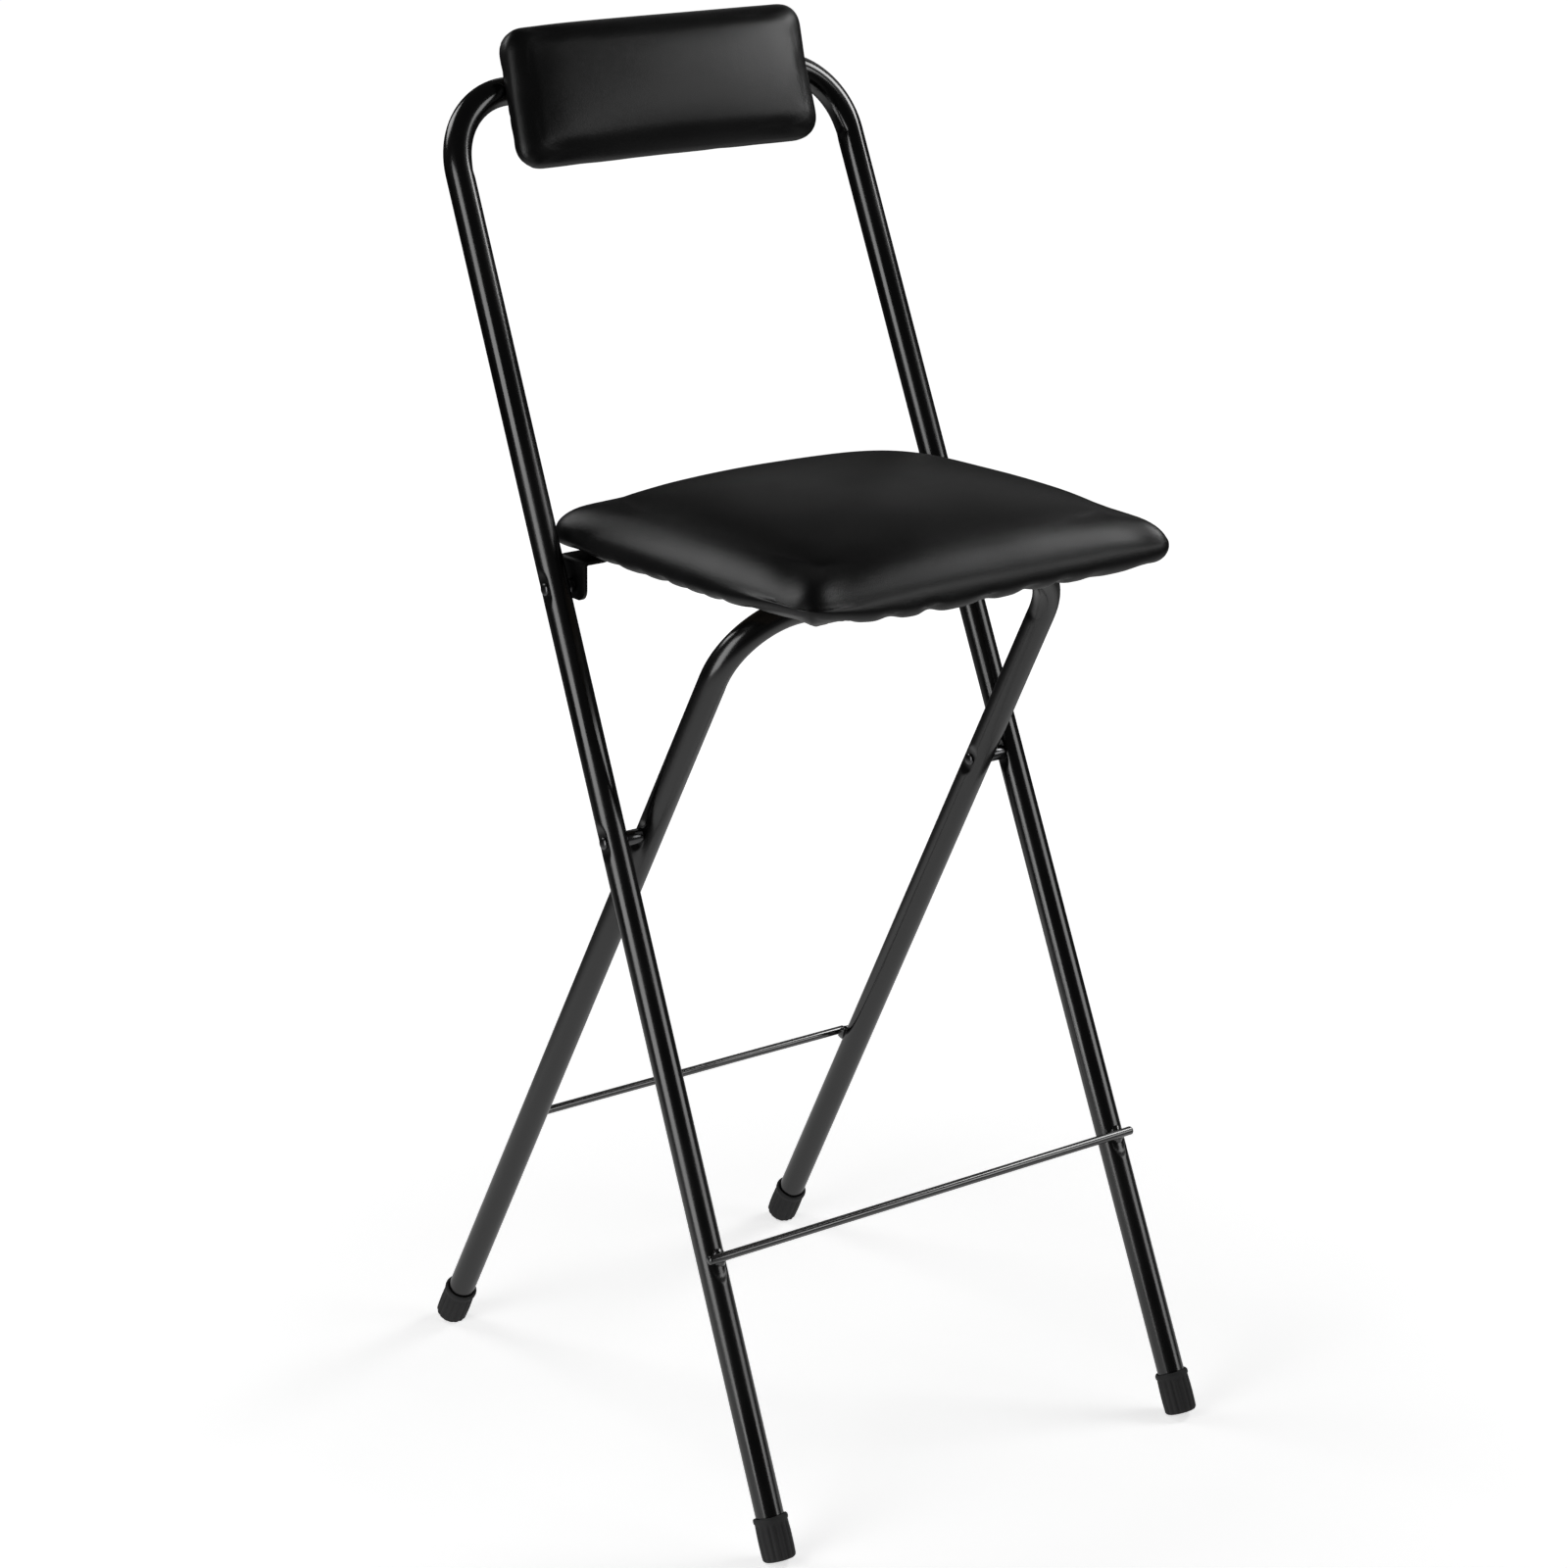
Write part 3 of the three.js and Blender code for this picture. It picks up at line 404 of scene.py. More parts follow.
def plywoodMaterial(name, tint):
    m = bpy.data.materials.new(name)
    m.use_nodes = True
    t = m.node_tree
    shader = t.nodes["Principled BSDF"]
    place = addNode(t, "ShaderNodeTexCoord")
    stretch = addNode(t, "ShaderNodeMapping")
    stretch.inputs["Scale"].default_value = (3.0, 40.0, 40.0)
    t.links.new(place.outputs["Object"], stretch.inputs["Vector"])
    grain = addNode(t, "ShaderNodeTexNoise", {"Scale": 2.2, "Detail": 8.0, "Roughness": 0.65, "Distortion": 0.6})
    t.links.new(stretch.outputs["Vector"], grain.inputs["Vector"])
    plies = addNode(t, "ShaderNodeTexWave", {"Scale": 110.0, "Distortion": 0.4}, bands_direction="Z")
    t.links.new(place.outputs["Object"], plies.inputs["Vector"])
    ramp = addNode(t, "ShaderNodeValToRGB")
    ramp.color_ramp.elements[0].position = 0.3
    ramp.color_ramp.elements[0].color = (*[c * 0.6 for c in tint], 1)
    ramp.color_ramp.elements[1].position = 0.72
    ramp.color_ramp.elements[1].color = (*tint, 1)
    t.links.new(grain.outputs["Fac"], ramp.inputs["Fac"])
    ply = addNode(t, "ShaderNodeMix", data_type="RGBA", blend_type="MULTIPLY")
    ply.inputs["Factor"].default_value = 0.18
    t.links.new(ramp.outputs["Color"], ply.inputs[colorA])
    t.links.new(plies.outputs["Color"], ply.inputs[colorB])
    t.links.new(ply.outputs[colorOut], shader.inputs["Base Color"])
    rough = addNode(t, "ShaderNodeMapRange", {"To Min": 0.6, "To Max": 0.85})
    t.links.new(grain.outputs["Fac"], rough.inputs["Value"])
    t.links.new(rough.outputs["Result"], shader.inputs["Roughness"])
    bump = addNode(t, "ShaderNodeBump", {"Strength": 0.3, "Distance": 0.0004})
    t.links.new(grain.outputs["Fac"], bump.inputs["Height"])
    t.links.new(bump.outputs["Normal"], shader.inputs["Normal"])
    return m


plywood = plywoodMaterial("plywood", (0.12, 0.095, 0.07))
nylon = painted("blackNylon", (0.018, 0.018, 0.018), 0.55, 1.0, 0.0, 0.0, wear=0.15)


def bentTube(name, legAt, f, heights, body, material, nodes, kinks, dent):
    bm = bmesh.new()
    left, right = -1, 1
    foot, corner = legAt(left, f["foot"]), legAt(left, f["top"])
    corner2, foot2 = legAt(right, f["top"]), legAt(right, f["foot"])
    across = Vector((1, 0, 0))

    def straight(ring, start, end, stops):
        heading = (end - start).normalized()
        marks = [0.0, (end - start).length]
        for p in stops:
            along = (p - start).dot(heading)
            marks += [along + k * tube["closeStep"] for k in range(-tube["closeRings"], tube["closeRings"] + 1)]
        step = tube["ringStep"]
        marks += [m for m in (k * step for k in range(1, int((end - start).length / step)))
                  if all(abs(m - near) > tube["apart"] for near in marks)]
        marks = sorted(m for m in marks if -1e-9 <= m <= (end - start).length + 1e-9)
        for a, b in zip(marks, marks[1:]):
            if b - a > 1e-6:
                ring = pushRing(bm, ring, heading * (b - a))
        return ring

    headings = [(corner - foot).normalized(), (corner2 - corner).normalized(), (foot2 - corner2).normalized()]
    rings = heights + [dent["height"]]
    ring = startRing(bm, tube["radius"], tube["around"], facing(across, headings[0], foot))
    at = foot
    for k, (c, stops) in enumerate(((corner, [legAt(left, h) for h in rings]), (corner2, []))):
        turn = headings[k].angle(headings[k + 1])
        reach = f["bend"] * math.tan(turn / 2)
        start = c - headings[k] * reach
        hinge = headings[k].cross(headings[k + 1]).normalized()
        kinkStops = [start] if k == 0 else []
        ring = straight(ring, at, start, stops + kinkStops)
        centre = start + hinge.cross(headings[k]) * f["bend"]
        ring = turnRing(bm, ring, centre, hinge, turn, tube["bendSteps"])
        at = c + headings[k + 1] * reach
        middle = sum((v.co for e in ring for v in e.verts), Vector()) / (2 * len(ring))
        assert (middle - at).length < 1e-4, (name, k, middle, at)
    ring = straight(ring, at, foot2, [at] + [legAt(right, h) for h in rings])
    bmesh.ops.holes_fill(bm, edges=[e for e in bm.edges if e.is_boundary], sides=0)

    # pressed flats at the rivets
    headingUp = Vector((0, math.sin(f["lean"]), math.cos(f["lean"])))
    for v in bm.verts:
        side = 1 if v.co.x > 0 else -1
        for h in heights:
            axis = legAt(side, h)
            along = abs((v.co - axis).dot(headings[0] if side < 0 else headings[2]))
            if along > pivots["fade"]:
                continue
            share = eased(clamped((pivots["fade"] - along) / (pivots["fade"] - pivots["flat"])))
            axisX = legAt(side, v.co.z).x
            limit = tube["radius"] - pivots["pressed"] * share
            if abs(v.co.x - axisX) > limit:
                v.co.x = axisX + math.copysign(limit, v.co.x - axisX)
    # a pressed oval where each rod is welded
    out = Vector((0, dent["face"] * math.cos(f["lean"]), math.sin(f["lean"])))
    for v in bm.verts:
        side = 1 if v.co.x > 0 else -1
        rel = v.co - legAt(side, dent["height"])
        along = rel.dot(headings[0] if side < 0 else headings[2])
        if abs(along) < 3 * dent["long"] and rel.dot(out) > 0:
            far = math.hypot(rel.x / dent["wide"], along / dent["long"])
            v.co -= out * dent["deep"] * eased(clamped((dent["edge"] - far) / dent["slope"]))
    # a small crimp on the inside of each leg where its bend ends
    for side in (left, right):
        c = legAt(side, f["top"])
        turn = headings[0].angle(headings[1])
        reach = f["bend"] * math.tan(turn / 2)
        end = c - (headings[0] if side < 0 else -headings[2]) * reach
        inward = Vector((-side, 0, 0))
        for v in bm.verts:
            rel = v.co - end
            along = rel.dot(headings[0] if side < 0 else -headings[2])
            if abs(along) > tube["crimpReach"]:
                continue
            inner = (rel - headingUp * rel.dot(headingUp)).dot(inward) / tube["radius"]
            if inner > 0 and (v.co.x * side) > 0:
                dip = kinks * math.exp(-(along / tube["crimpWide"]) ** 2) * inner ** 3
                v.co -= inward * dip
    return finishMesh(bm, name, body, [material], nodes, sharpAngle=50)


frontDent = {"height": 0.2095, "face": -1, "wide": 0.0068, "long": 0.011, "deep": 0.0012, "edge": 1.15,
             "slope": 0.4}
rearDent = {"height": 0.2035, "face": 1, "wide": 0.006, "long": 0.009, "deep": 0.0008, "edge": 1.15,
            "slope": 0.4}
bentTube("frontTube", frontLeg, front, [pivots["leg"], pivots["seat"]], "front_frame", glossPaint,
         ["front_frame_tube"], 0.0009, frontDent)
bentTube("rearTube", rearLeg, rear, [pivots["leg"]], "rear_frame", glossPaint, ["rear_frame_tube"],
         0.0007, rearDent)
print("tubes done")

rods = {"front": {"node": "front_stretcher", "legAt": frontLeg, "lean": front["lean"], "height": 0.2155,
                  "radius": 0.0035, "overhang": 0.012, "inboard": 0.001, "face": -1, "body": "front_frame"},
        "rear": {"node": "rear_stretcher", "legAt": rearLeg, "lean": rear["lean"], "height": 0.2092,
                 "radius": 0.0033, "overhang": -0.003, "inboard": 0.005, "face": 1, "body": "rear_frame"}}
rodForm = {"around": 40, "apart": 0.00015, "rounding": 0.0022, "roundSteps": 8, "step": 0.02, "waves": 9,
           "waver": 0.00025}
weld = {"wide": 0.0055, "high": 0.004, "long": 0.0072, "lumps": 0.0007, "ripple": 0.00022, "pitch": 0.0021}


def weldBead(at, lean, shift):
    bm = bmesh.new()
    bmesh.ops.create_icosphere(bm, subdivisions=4, radius=1)
    for v in bm.verts:
        lump = noise.noise(v.co * 1.7 + Vector((shift, seed, 0))) * weld["lumps"]
        ripple = math.cos(v.co.z * weld["long"] / weld["pitch"] * 2 * math.pi) * weld["ripple"]
        grown = v.co.normalized() * (lump + ripple)
        v.co = Vector((v.co.x * weld["wide"], v.co.y * weld["high"], v.co.z * weld["long"])) + grown
    bmesh.ops.transform(bm, matrix=Matrix.Translation(at) @ Matrix.Rotation(lean, 4, "X"), verts=bm.verts)
    return bm


def makeRod(name, p):
    onLeg, r = p["legAt"](1, p["height"]), p["radius"]
    out = Vector((0, p["face"] * math.cos(p["lean"]), math.sin(p["lean"])))
    axis = Vector((0, onLeg.y, onLeg.z)) + out * (tube["radius"] + r + rodForm["apart"])
    half = onLeg.x + p["overhang"]
    turns = [k * math.pi / (2 * rodForm["roundSteps"]) for k in range(rodForm["roundSteps"] + 1)]
    start = [(r * math.sin(a), rodForm["rounding"] * (1 - math.cos(a))) for a in turns]
    middle = [(r, rodForm["step"] * k) for k in range(1, int(2 * half / rodForm["step"]))]
    profile = start + middle + [(a, 2 * half - b) for a, b in reversed(start)]
    bm = turnedForm(profile, rodForm["around"], sideways(-half, axis))
    for v in bm.verts:
        # drawn wire is never dead straight
        v.co += out * noise.noise(Vector((v.co.x * rodForm["waves"], seed, p["face"]))) * rodForm["waver"]
    for side in (-1, 1):
        at = p["legAt"](side, p["height"]) + out * tube["radius"] - Vector((side * p["inboard"], 0, 0))
        joinForm(bm, weldBead(at, p["face"] * p["lean"], side * 3.1 + p["face"]))
    finishMesh(bm, name, p["body"], [rodPaint], [p["node"]])


makeRod("frontRod", rods["front"])
makeRod("rearRod", rods["rear"])
print("rods done")

cap = {"radius": 0.0128, "long": 0.034, "floor": 0.005, "rim": 0.0045, "rimExtra": 0.0006, "round": 0.0028,
       "rib": 0.00085, "ribs": 16, "flat": 0.002, "bulge": 0.0004, "bore": 0.0113, "wander": 0.0007, "around": 128,
       "grooveFade": 0.0014, "soleFade": 0.002, "lipRise": 0.0007, "lipTop": 0.0022, "lipEdge": 0.0008}


def makeCap(name, node, legAt, side, lean, body):
    c = cap
    r, rimFrom = c["radius"], c["long"] - c["rim"]
    sole = legAt(side, r * math.sin(lean) - c["flat"])
    turns = [k * math.pi / 12 for k in range(7)]
    bend = [(r - c["round"] * (1 - math.sin(a)), c["round"] * (1 - math.cos(a))) for a in turns]
    wall = [(r, c["round"] + (rimFrom - c["round"]) * k / 12) for k in range(1, 12)]
    lip = [(r, rimFrom), (r + c["rimExtra"], rimFrom + c["lipRise"]),
           (r + c["rimExtra"] * 1.3, rimFrom + c["lipTop"]), (r + c["rimExtra"], c["long"] - c["lipEdge"])]
    inside = [(r - 0.0001, c["long"]), (c["bore"] + 0.0003, c["long"]), (c["bore"], c["long"] - 0.0004),
              (c["bore"], c["floor"]), (0, c["floor"])]
    bm = turnedForm([(0, 0), (r * 0.5, 0)] + bend + wall + lip + inside, c["around"], Matrix.Identity(4))
    for v in bm.verts:
        radius, turn, high = math.hypot(v.co.x, v.co.y), math.atan2(v.co.y, v.co.x), v.co.z
        if radius > c["bore"] + 0.0006 and high < rimFrom + 0.0004:
            groove = (0.5 + 0.5 * math.cos(turn * c["ribs"])) ** 2.2
            fade = clamped((rimFrom - high) / c["grooveFade"]) * min(1, high / c["soleFade"])
            push = c["bulge"] * math.sin(math.pi * high / rimFrom) - c["rib"] * groove * fade
            v.co.x, v.co.y = v.co.x * (radius + push) / radius, v.co.y * (radius + push) / radius
        if high > rimFrom:
            share = (high - rimFrom) / c["rim"]
            spot = Vector((math.cos(turn) * 1.4, math.sin(turn) * 1.4, seed + sole.x * 40))  # another for each cap
            v.co.z += share * c["wander"] * noise.noise(spot)
    heading = legAt(side, pivots["leg"]) - sole
    bmesh.ops.transform(bm, matrix=facing(Vector((1, 0, 0)), heading, sole), verts=bm.verts)
    geom = bm.verts[:] + bm.edges[:] + bm.faces[:]
    bmesh.ops.bisect_plane(bm, geom=geom, plane_co=(0, 0, 0), plane_no=(0, 0, 1), clear_inner=True)
    bmesh.ops.holes_fill(bm, edges=[e for e in bm.edges if e.is_boundary], sides=0)
    finishMesh(bm, name, body, [footRubber], [node], sharpAngle=48)


for word, side in (("Left", -1), ("Right", 1)):
    makeCap("frontCap" + word, "front_foot_cap_" + word.lower(), frontLeg, side, front["lean"], "front_frame")
    makeCap("rearCap" + word, "rear_foot_cap_" + word.lower(), rearLeg, side, rear["lean"], "rear_frame")
print("caps done")

rivetHead = {"radius": 0.00475, "high": 0.0022, "shank": 0.003, "edge": 0.00035, "around": 48}
spacerRing = {"radius": 0.0059, "bore": 0.00315, "soft": 0.0006, "around": 48}


def makeRivet(name, node, body):
    h = rivetHead
    x0, x1, centre = alongX(node)
    turns = [k * math.pi / 20 for k in range(11)]
    dome = [(h["radius"] * math.sin(a) ** 0.9, (h["high"] - h["edge"]) * (1 - math.cos(a))) for a in turns]
    dome += [(h["radius"], h["high"]), (h["shank"], h["high"])]
    profile = dome + [(r, x1 - x0 - z) for r, z in reversed(dome)]
    bm = turnedForm(profile, h["around"], sideways(x0, centre))
    finishMesh(bm, name, body, [rivetSteel], [node], sharpAngle=45)


def makeSpacer(name, node, body):
    p = spacerRing
    x0, x1, centre = alongX(node)
    long, e = x1 - x0, p["soft"]
    outer = [(p["radius"] - e, 0), (p["radius"] - e * 0.3, e * 0.3), (p["radius"], e)]
    bore = [(p["bore"], long), (p["bore"], 0)]
    profile = [(p["bore"], 0)] + outer + [(r, long - z) for r, z in reversed(outer)] + bore
    bm = turnedForm(profile, p["around"], sideways(x0, centre))
    finishMesh(bm, name, body, [rivetSteel], [node], sharpAngle=50)


for word in ("left", "right"):
    for joint in ("leg", "seat"):
        makeRivet(joint + "Rivet" + word.capitalize(), joint + "_pivot_rivet_" + word, "front_frame")
        makeSpacer(joint + "Spacer" + word.capitalize(), joint + "_pivot_spacer_" + word, "front_frame")
print("rivets done")

# the strap's ends are pressed down a step, between two distances from the middle
joggle = {"from": 0.147, "to": 0.161, "cuts": 7, "above": 0.703, "down": 0.004}
flatWithin = 0.6  # degrees between faces that count as one


def refine(name, node, body, material, width, angle=35, step=None):
    # the CAD solid with its edges eased, and its ends stepped down where it is pressed
    bm = bmesh.new()
    bm.from_mesh(frame["nodes"][node].data)
    bmesh.ops.remove_doubles(bm, verts=bm.verts, dist=merge)
    bmesh.ops.dissolve_limit(bm, angle_limit=math.radians(flatWithin), verts=bm.verts, edges=bm.edges)
    if step:
        long = step["to"] - step["from"]
        for k in range(step["cuts"] + 1):
            for side in (-1, 1):
                bmesh.ops.bisect_plane(bm, geom=bm.verts[:] + bm.edges[:] + bm.faces[:], plane_no=(1, 0, 0),
                                       plane_co=(side * (step["from"] + long * k / step["cuts"]), 0, 0))
        for v in bm.verts:
            if v.co.z > step["above"]:
                v.co.z -= step["down"] * eased(clamped((abs(v.co.x) - step["from"]) / long))
    piece = finishMesh(bm, name, body, [material], [node])
    ease = piece.modifiers.new("ease", "BEVEL")
    ease.width = width
    ease.segments = 3
    ease.limit_method = "ANGLE"
    ease.angle_limit = math.radians(angle)
    ease.harden_normals = True


refine("hingeStrap", "seat_hinge_strap", "seat", strapPaint, 0.0005, step=joggle)
for word in ("left", "right"):
    refine("saddle" + word.capitalize(), "crossbar_saddle_" + word, "seat", nylon, 0.0004)
    refine("saddleScrew" + word.capitalize(), "saddle_screw_" + word, "seat", screwSteel, 0.00012)
    refine("backScrew" + word.capitalize(), "backrest_screw_" + word, "front_frame", screwSteel, 0.00012)
    for row in ("inner", "outer"):
        refine("strapScrew" + word.capitalize() + row.capitalize(), "strap_screw_" + word + "_" + row, "seat",
               screwSteel, 0.00012)
print("fittings done")

# Cushions: the cover is wrapped over foam with a rolled edge and a crown, and stapled under the board.
# In a cushion's own frame x runs across it, y along its board and z out of its padded face.
# rim: height of the widest line above the board's back. twist: lift of the corners (-1, -1), (1, -1), (-1, 1), (1, 1).
# tucks: x, y, reach and rise of a place on the hem. pulls: x, y, reach and the shift along x and y.
# gathers and darts: the folds that the staples make, shallower on the two sides by sideShare.
seatPad = {"node": "seat_cushion", "board": "seat_board", "body": "seat", "lean": math.pi / 2,
           "half": (0.1774, 0.1633), "roll": 0.026, "corner": 2.6, "rollHigh": 0.0214, "crownHigh": 0.0342,
           "crownPower": 2.66, "crownShare": 1.19, "rim": 0.0082, "under": 0.0122, "scaleHigh": 0.035,
           "twist": (0.0038, 0.0068, 0.0008, -0.0057),
           "tucks": ((-0.177, -0.115, 0.05, 0.005), (-0.04, -0.163, 0.06, -0.0025), (-0.177, 0.163, 0.028, -0.002),
                     (-0.17, -0.155, 0.04, 0.0065), (-0.177, 0.07, 0.05, -0.002), (0.177, -0.163, 0.04, 0.003)),
           "pulls": ((-0.177, 0.163, 0.03, -0.001, 0.007), (0.177, -0.163, 0.03, 0.001, -0.0025)),
           "cuts": (71, 65, 13), "shrink": 0.0008, "heldBelow": 0.005, "freeAbove": 0.02, "pressure": 4.0,
           "cap": 0.004, "gathers": 34, "gatherDepth": 0.0022, "sideShare": 0.45, "gatherTop": 0.013,
           "dartDepth": 0.0016, "dartReach": 0.03, "darts": 2, "dartSpread": 0.012, "dartWide": 0.0018,
           "sag": 0.0004}
backPad = {"node": "backrest_cushion", "board": "backrest_board", "body": "front_frame", "lean": front["lean"],
           "half": (0.1415, 0.0558), "roll": 0.021, "corner": 2.3, "rollHigh": 0.0118, "crownHigh": 0.0085,
           "crownPower": 2.1, "crownShare": 1.0, "rim": 0.0095, "under": 0.003, "scaleHigh": 0.013,
           "twist": (-0.003, -0.0025, 0.003, 0.004), "tucks": (),
           "pulls": ((-0.1415, 0.056, 0.045, 0.0034, -0.0015), (-0.1415, -0.056, 0.045, -0.0038, 0.0),
                     (0.1415, 0.05, 0.045, 0.0055, 0.0), (0.1415, -0.03, 0.035, 0.0025, 0.0),
                     (0.0, 0.0, 1.0, 0.0, -0.0008)),
           "cuts": (71, 35, 11), "shrink": 0.0006, "heldBelow": 0.004, "freeAbove": 0.012, "pressure": 4.0,
           "cap": 0.002, "gathers": 22, "gatherDepth": 0.0004, "sideShare": 1.0, "gatherTop": 0.008,
           "dartDepth": 0.0004, "dartReach": 0.016, "darts": 2, "dartSpread": 0.009, "dartWide": 0.0015,
           "sag": 0.0002}
# hem: from which share of the half size it is worked on, and the heights below which it moves
coverCloth = {"quality": 5, "mass": 0.3, "stiffness": 15, "bending": 0.5, "frames": 20, "smoothing": 20}
hem = {"from": 0.86, "over": 0.1, "reach": 1.8, "liftOver": 0.01, "flatBelow": 0.006, "rise": 1.3, "beyond": 0.02,
       "inside": 0.6}
drift = {"scale": 16, "scaleUp": 9, "above": 0.012}
pocket = {"gap": 0.0004, "open": -0.02}  # play round the board, and how far the cut runs out of the back


def meshOf(obj):
    # the mesh with its modifiers applied
    bpy.context.view_layer.update()
    return bpy.data.meshes.new_from_object(obj.evaluated_get(bpy.context.evaluated_depsgraph_get()))


def scratch(mesh, name):
    obj = bpy.data.objects.new(name, mesh)
    bpy.context.collection.objects.link(obj)
    return obj


def discard(obj):
    mesh = obj.data
    bpy.data.objects.remove(obj, do_unlink=True)
    bpy.data.meshes.remove(mesh)


def localFrame(p):
    # x across, y along the board, z out of its upholstered face, origin under the board's middle
    lean = p["lean"]
    x, y = Vector((1, 0, 0)), Vector((0, math.sin(lean), math.cos(lean)))
    z = x.cross(y)
    board = bmesh.new()
    board.from_mesh(frame["nodes"][p["board"]].data)
    turn = Matrix((x, y, z)).transposed()
    reach = [turn.transposed() @ v.co for v in board.verts]
    board.free()
    low = [min(c[k] for c in reach) for k in range(3)]
    high = [max(c[k] for c in reach) for k in range(3)]
    origin = turn @ Vector(((low[0] + high[0]) / 2, (low[1] + high[1]) / 2, low[2]))
    half = Vector(((high[0] - low[0]) / 2, (high[1] - low[1]) / 2, high[2] - low[2]))
    return Matrix.Translation(origin) @ turn.to_4x4(), half


def coverHigh(x, y, p):
    # height of the cover above its widest line, or less than nothing outside it
    n = p["corner"]
    into = [max(0, (abs(c) - h) / p["roll"] + 1) ** n for c, h in zip((x, y), p["half"])]
    edge = 1 - sum(into) ** (2 / n)
    if edge <= 0:
        return -1
    share = [max(0, 1 - (abs(c) / h) ** p["crownPower"]) for c, h in zip((x, y), p["half"])]
    return math.sqrt(edge) * (p["rollHigh"] + p["crownHigh"] * (share[0] * share[1]) ** p["crownShare"])


def toCover(aim, p):
    # how far along a line from the middle the cover lies
    near, far = 0.0, 3 * max(p["half"]) / aim.length
    for halving in range(26):
        t = (near + far) / 2
        if t * aim.z <= coverHigh(t * aim.x, t * aim.y, p):
            near = t
        else:
            far = t
    return aim * near


def coverForm(p):
    bm = bmesh.new()
    bmesh.ops.create_cube(bm, size=2)
    for axis in range(3):
        along = [e for e in bm.edges if abs(e.verts[0].co[axis] - e.verts[1].co[axis]) > 1.9]
        bmesh.ops.subdivide_edges(bm, edges=along, cuts=p["cuts"][axis], use_grid_fill=True)
    for v in bm.verts:
        c = v.co.copy()
        flat = Vector((c.x * p["half"][0], c.y * p["half"][1], 0))
        if c.z >= 0:
            v.co = toCover(flat + Vector((0, 0, c.z * p["scaleHigh"])), p)
        elif flat.length > 1e-6:
            reach = max(abs(c.x), abs(c.y))
            ring = toCover(flat, p)
            turn = -c.z * math.pi / 2 if reach > 0.9999 else math.pi / 2
            inset = p["under"] * (1 - math.cos(turn))
            v.co = ring * (1 - inset / ring.length) * reach - Vector((0, 0, p["rim"] * math.sin(turn)))
        else:
            v.co = Vector((0, 0, -p["rim"]))
        v.co.z += p["rim"]
    bmesh.ops.recalc_face_normals(bm, faces=bm.faces)
    return bm


def swell(mesh, p):
    # air pressure tightens the cover as cloth, held along its stapled edge
    obj = scratch(mesh, "cushionCloth")
    start = [v.co.copy() for v in mesh.vertices]
    held = obj.vertex_groups.new(name="held")
    for v in mesh.vertices:
        weight = 1 - (v.co.z - p["heldBelow"]) / (p["freeAbove"] - p["heldBelow"])
        if weight > 0:
            held.add([v.index], min(1, weight), "REPLACE")
    cloth = obj.modifiers.new("cloth", "CLOTH")
    c = cloth.settings
    c.quality = coverCloth["quality"]
    c.mass = coverCloth["mass"]
    c.tension_stiffness = c.compression_stiffness = coverCloth["stiffness"]
    c.bending_stiffness = coverCloth["bending"]
    c.use_pressure = True
    c.uniform_pressure_force = p["pressure"]
    c.effector_weights.gravity = 0
    c.vertex_group_mass = "held"
    cloth.collision_settings.use_self_collision = False
    cloth.point_cache.frame_start, cloth.point_cache.frame_end = 1, coverCloth["frames"]
    for f in range(1, coverCloth["frames"] + 1):
        scene.frame_set(f)
    swollen = meshOf(obj)
    moves = [w.co - at for w, at in zip(swollen.vertices, start)]
    moves = [m if m.length < p["cap"] else m.normalized() * p["cap"] for m in moves]
    beside = [[] for v in mesh.vertices]
    for e in mesh.edges:
        beside[e.vertices[0]].append(e.vertices[1])
        beside[e.vertices[1]].append(e.vertices[0])
    for step in range(coverCloth["smoothing"]):
        moves = [(m + sum((moves[k] for k in near), Vector()) / len(near)) / 2
                 for m, near in zip(moves, beside)]
    top = [m.z for m, at in zip(moves, start) if at.z > p["freeAbove"]]
    print("cover rises by", round(sum(top) / len(top) * 1000, 2), "mm")
    for v, move, at in zip(mesh.vertices, moves, start):
        v.co = at + move
    obj.modifiers.remove(cloth)
    bpy.data.meshes.remove(swollen)
    scene.frame_set(1)
    fine = obj.modifiers.new("fine", "SUBSURF")
    fine.levels = fine.render_levels = 1
    done = meshOf(obj)
    discard(obj)
    return done


def hemShare(u, w):
    # 0 inside the cushion, 1 near its edge
    return clamped((max(abs(u), abs(w)) - hem["from"]) / hem["over"])


def settle(v, p):
    # corners lifted unevenly, and the hem tucked up or let down
    u, w = (max(-1, min(1, c / h)) for c, h in zip(v.co, p["half"]))
    corners = zip(p["twist"], ((-1, -1), (1, -1), (-1, 1), (1, 1)))
    lift = sum(t * (1 + u * a) * (1 + w * b) / 4 for t, (a, b) in corners)
    low = clamped(hem["reach"] - v.co.z / p["rim"])
    edge = hemShare(u, w)
    v.co.z += lift * min(1, v.co.z / hem["liftOver"])
    for x, y, reach, up in p["tucks"]:
        near = math.exp(-((v.co.x - x) ** 2 + (v.co.y - y) ** 2) / reach ** 2)
        v.co.z += up * near * low * edge
    for x, y, reach, byX, byY in p["pulls"]:
        near = math.exp(-((v.co.x - x) ** 2 + (v.co.y - y) ** 2) / reach ** 2)
        v.co.x += byX * near
        v.co.y += byY * near


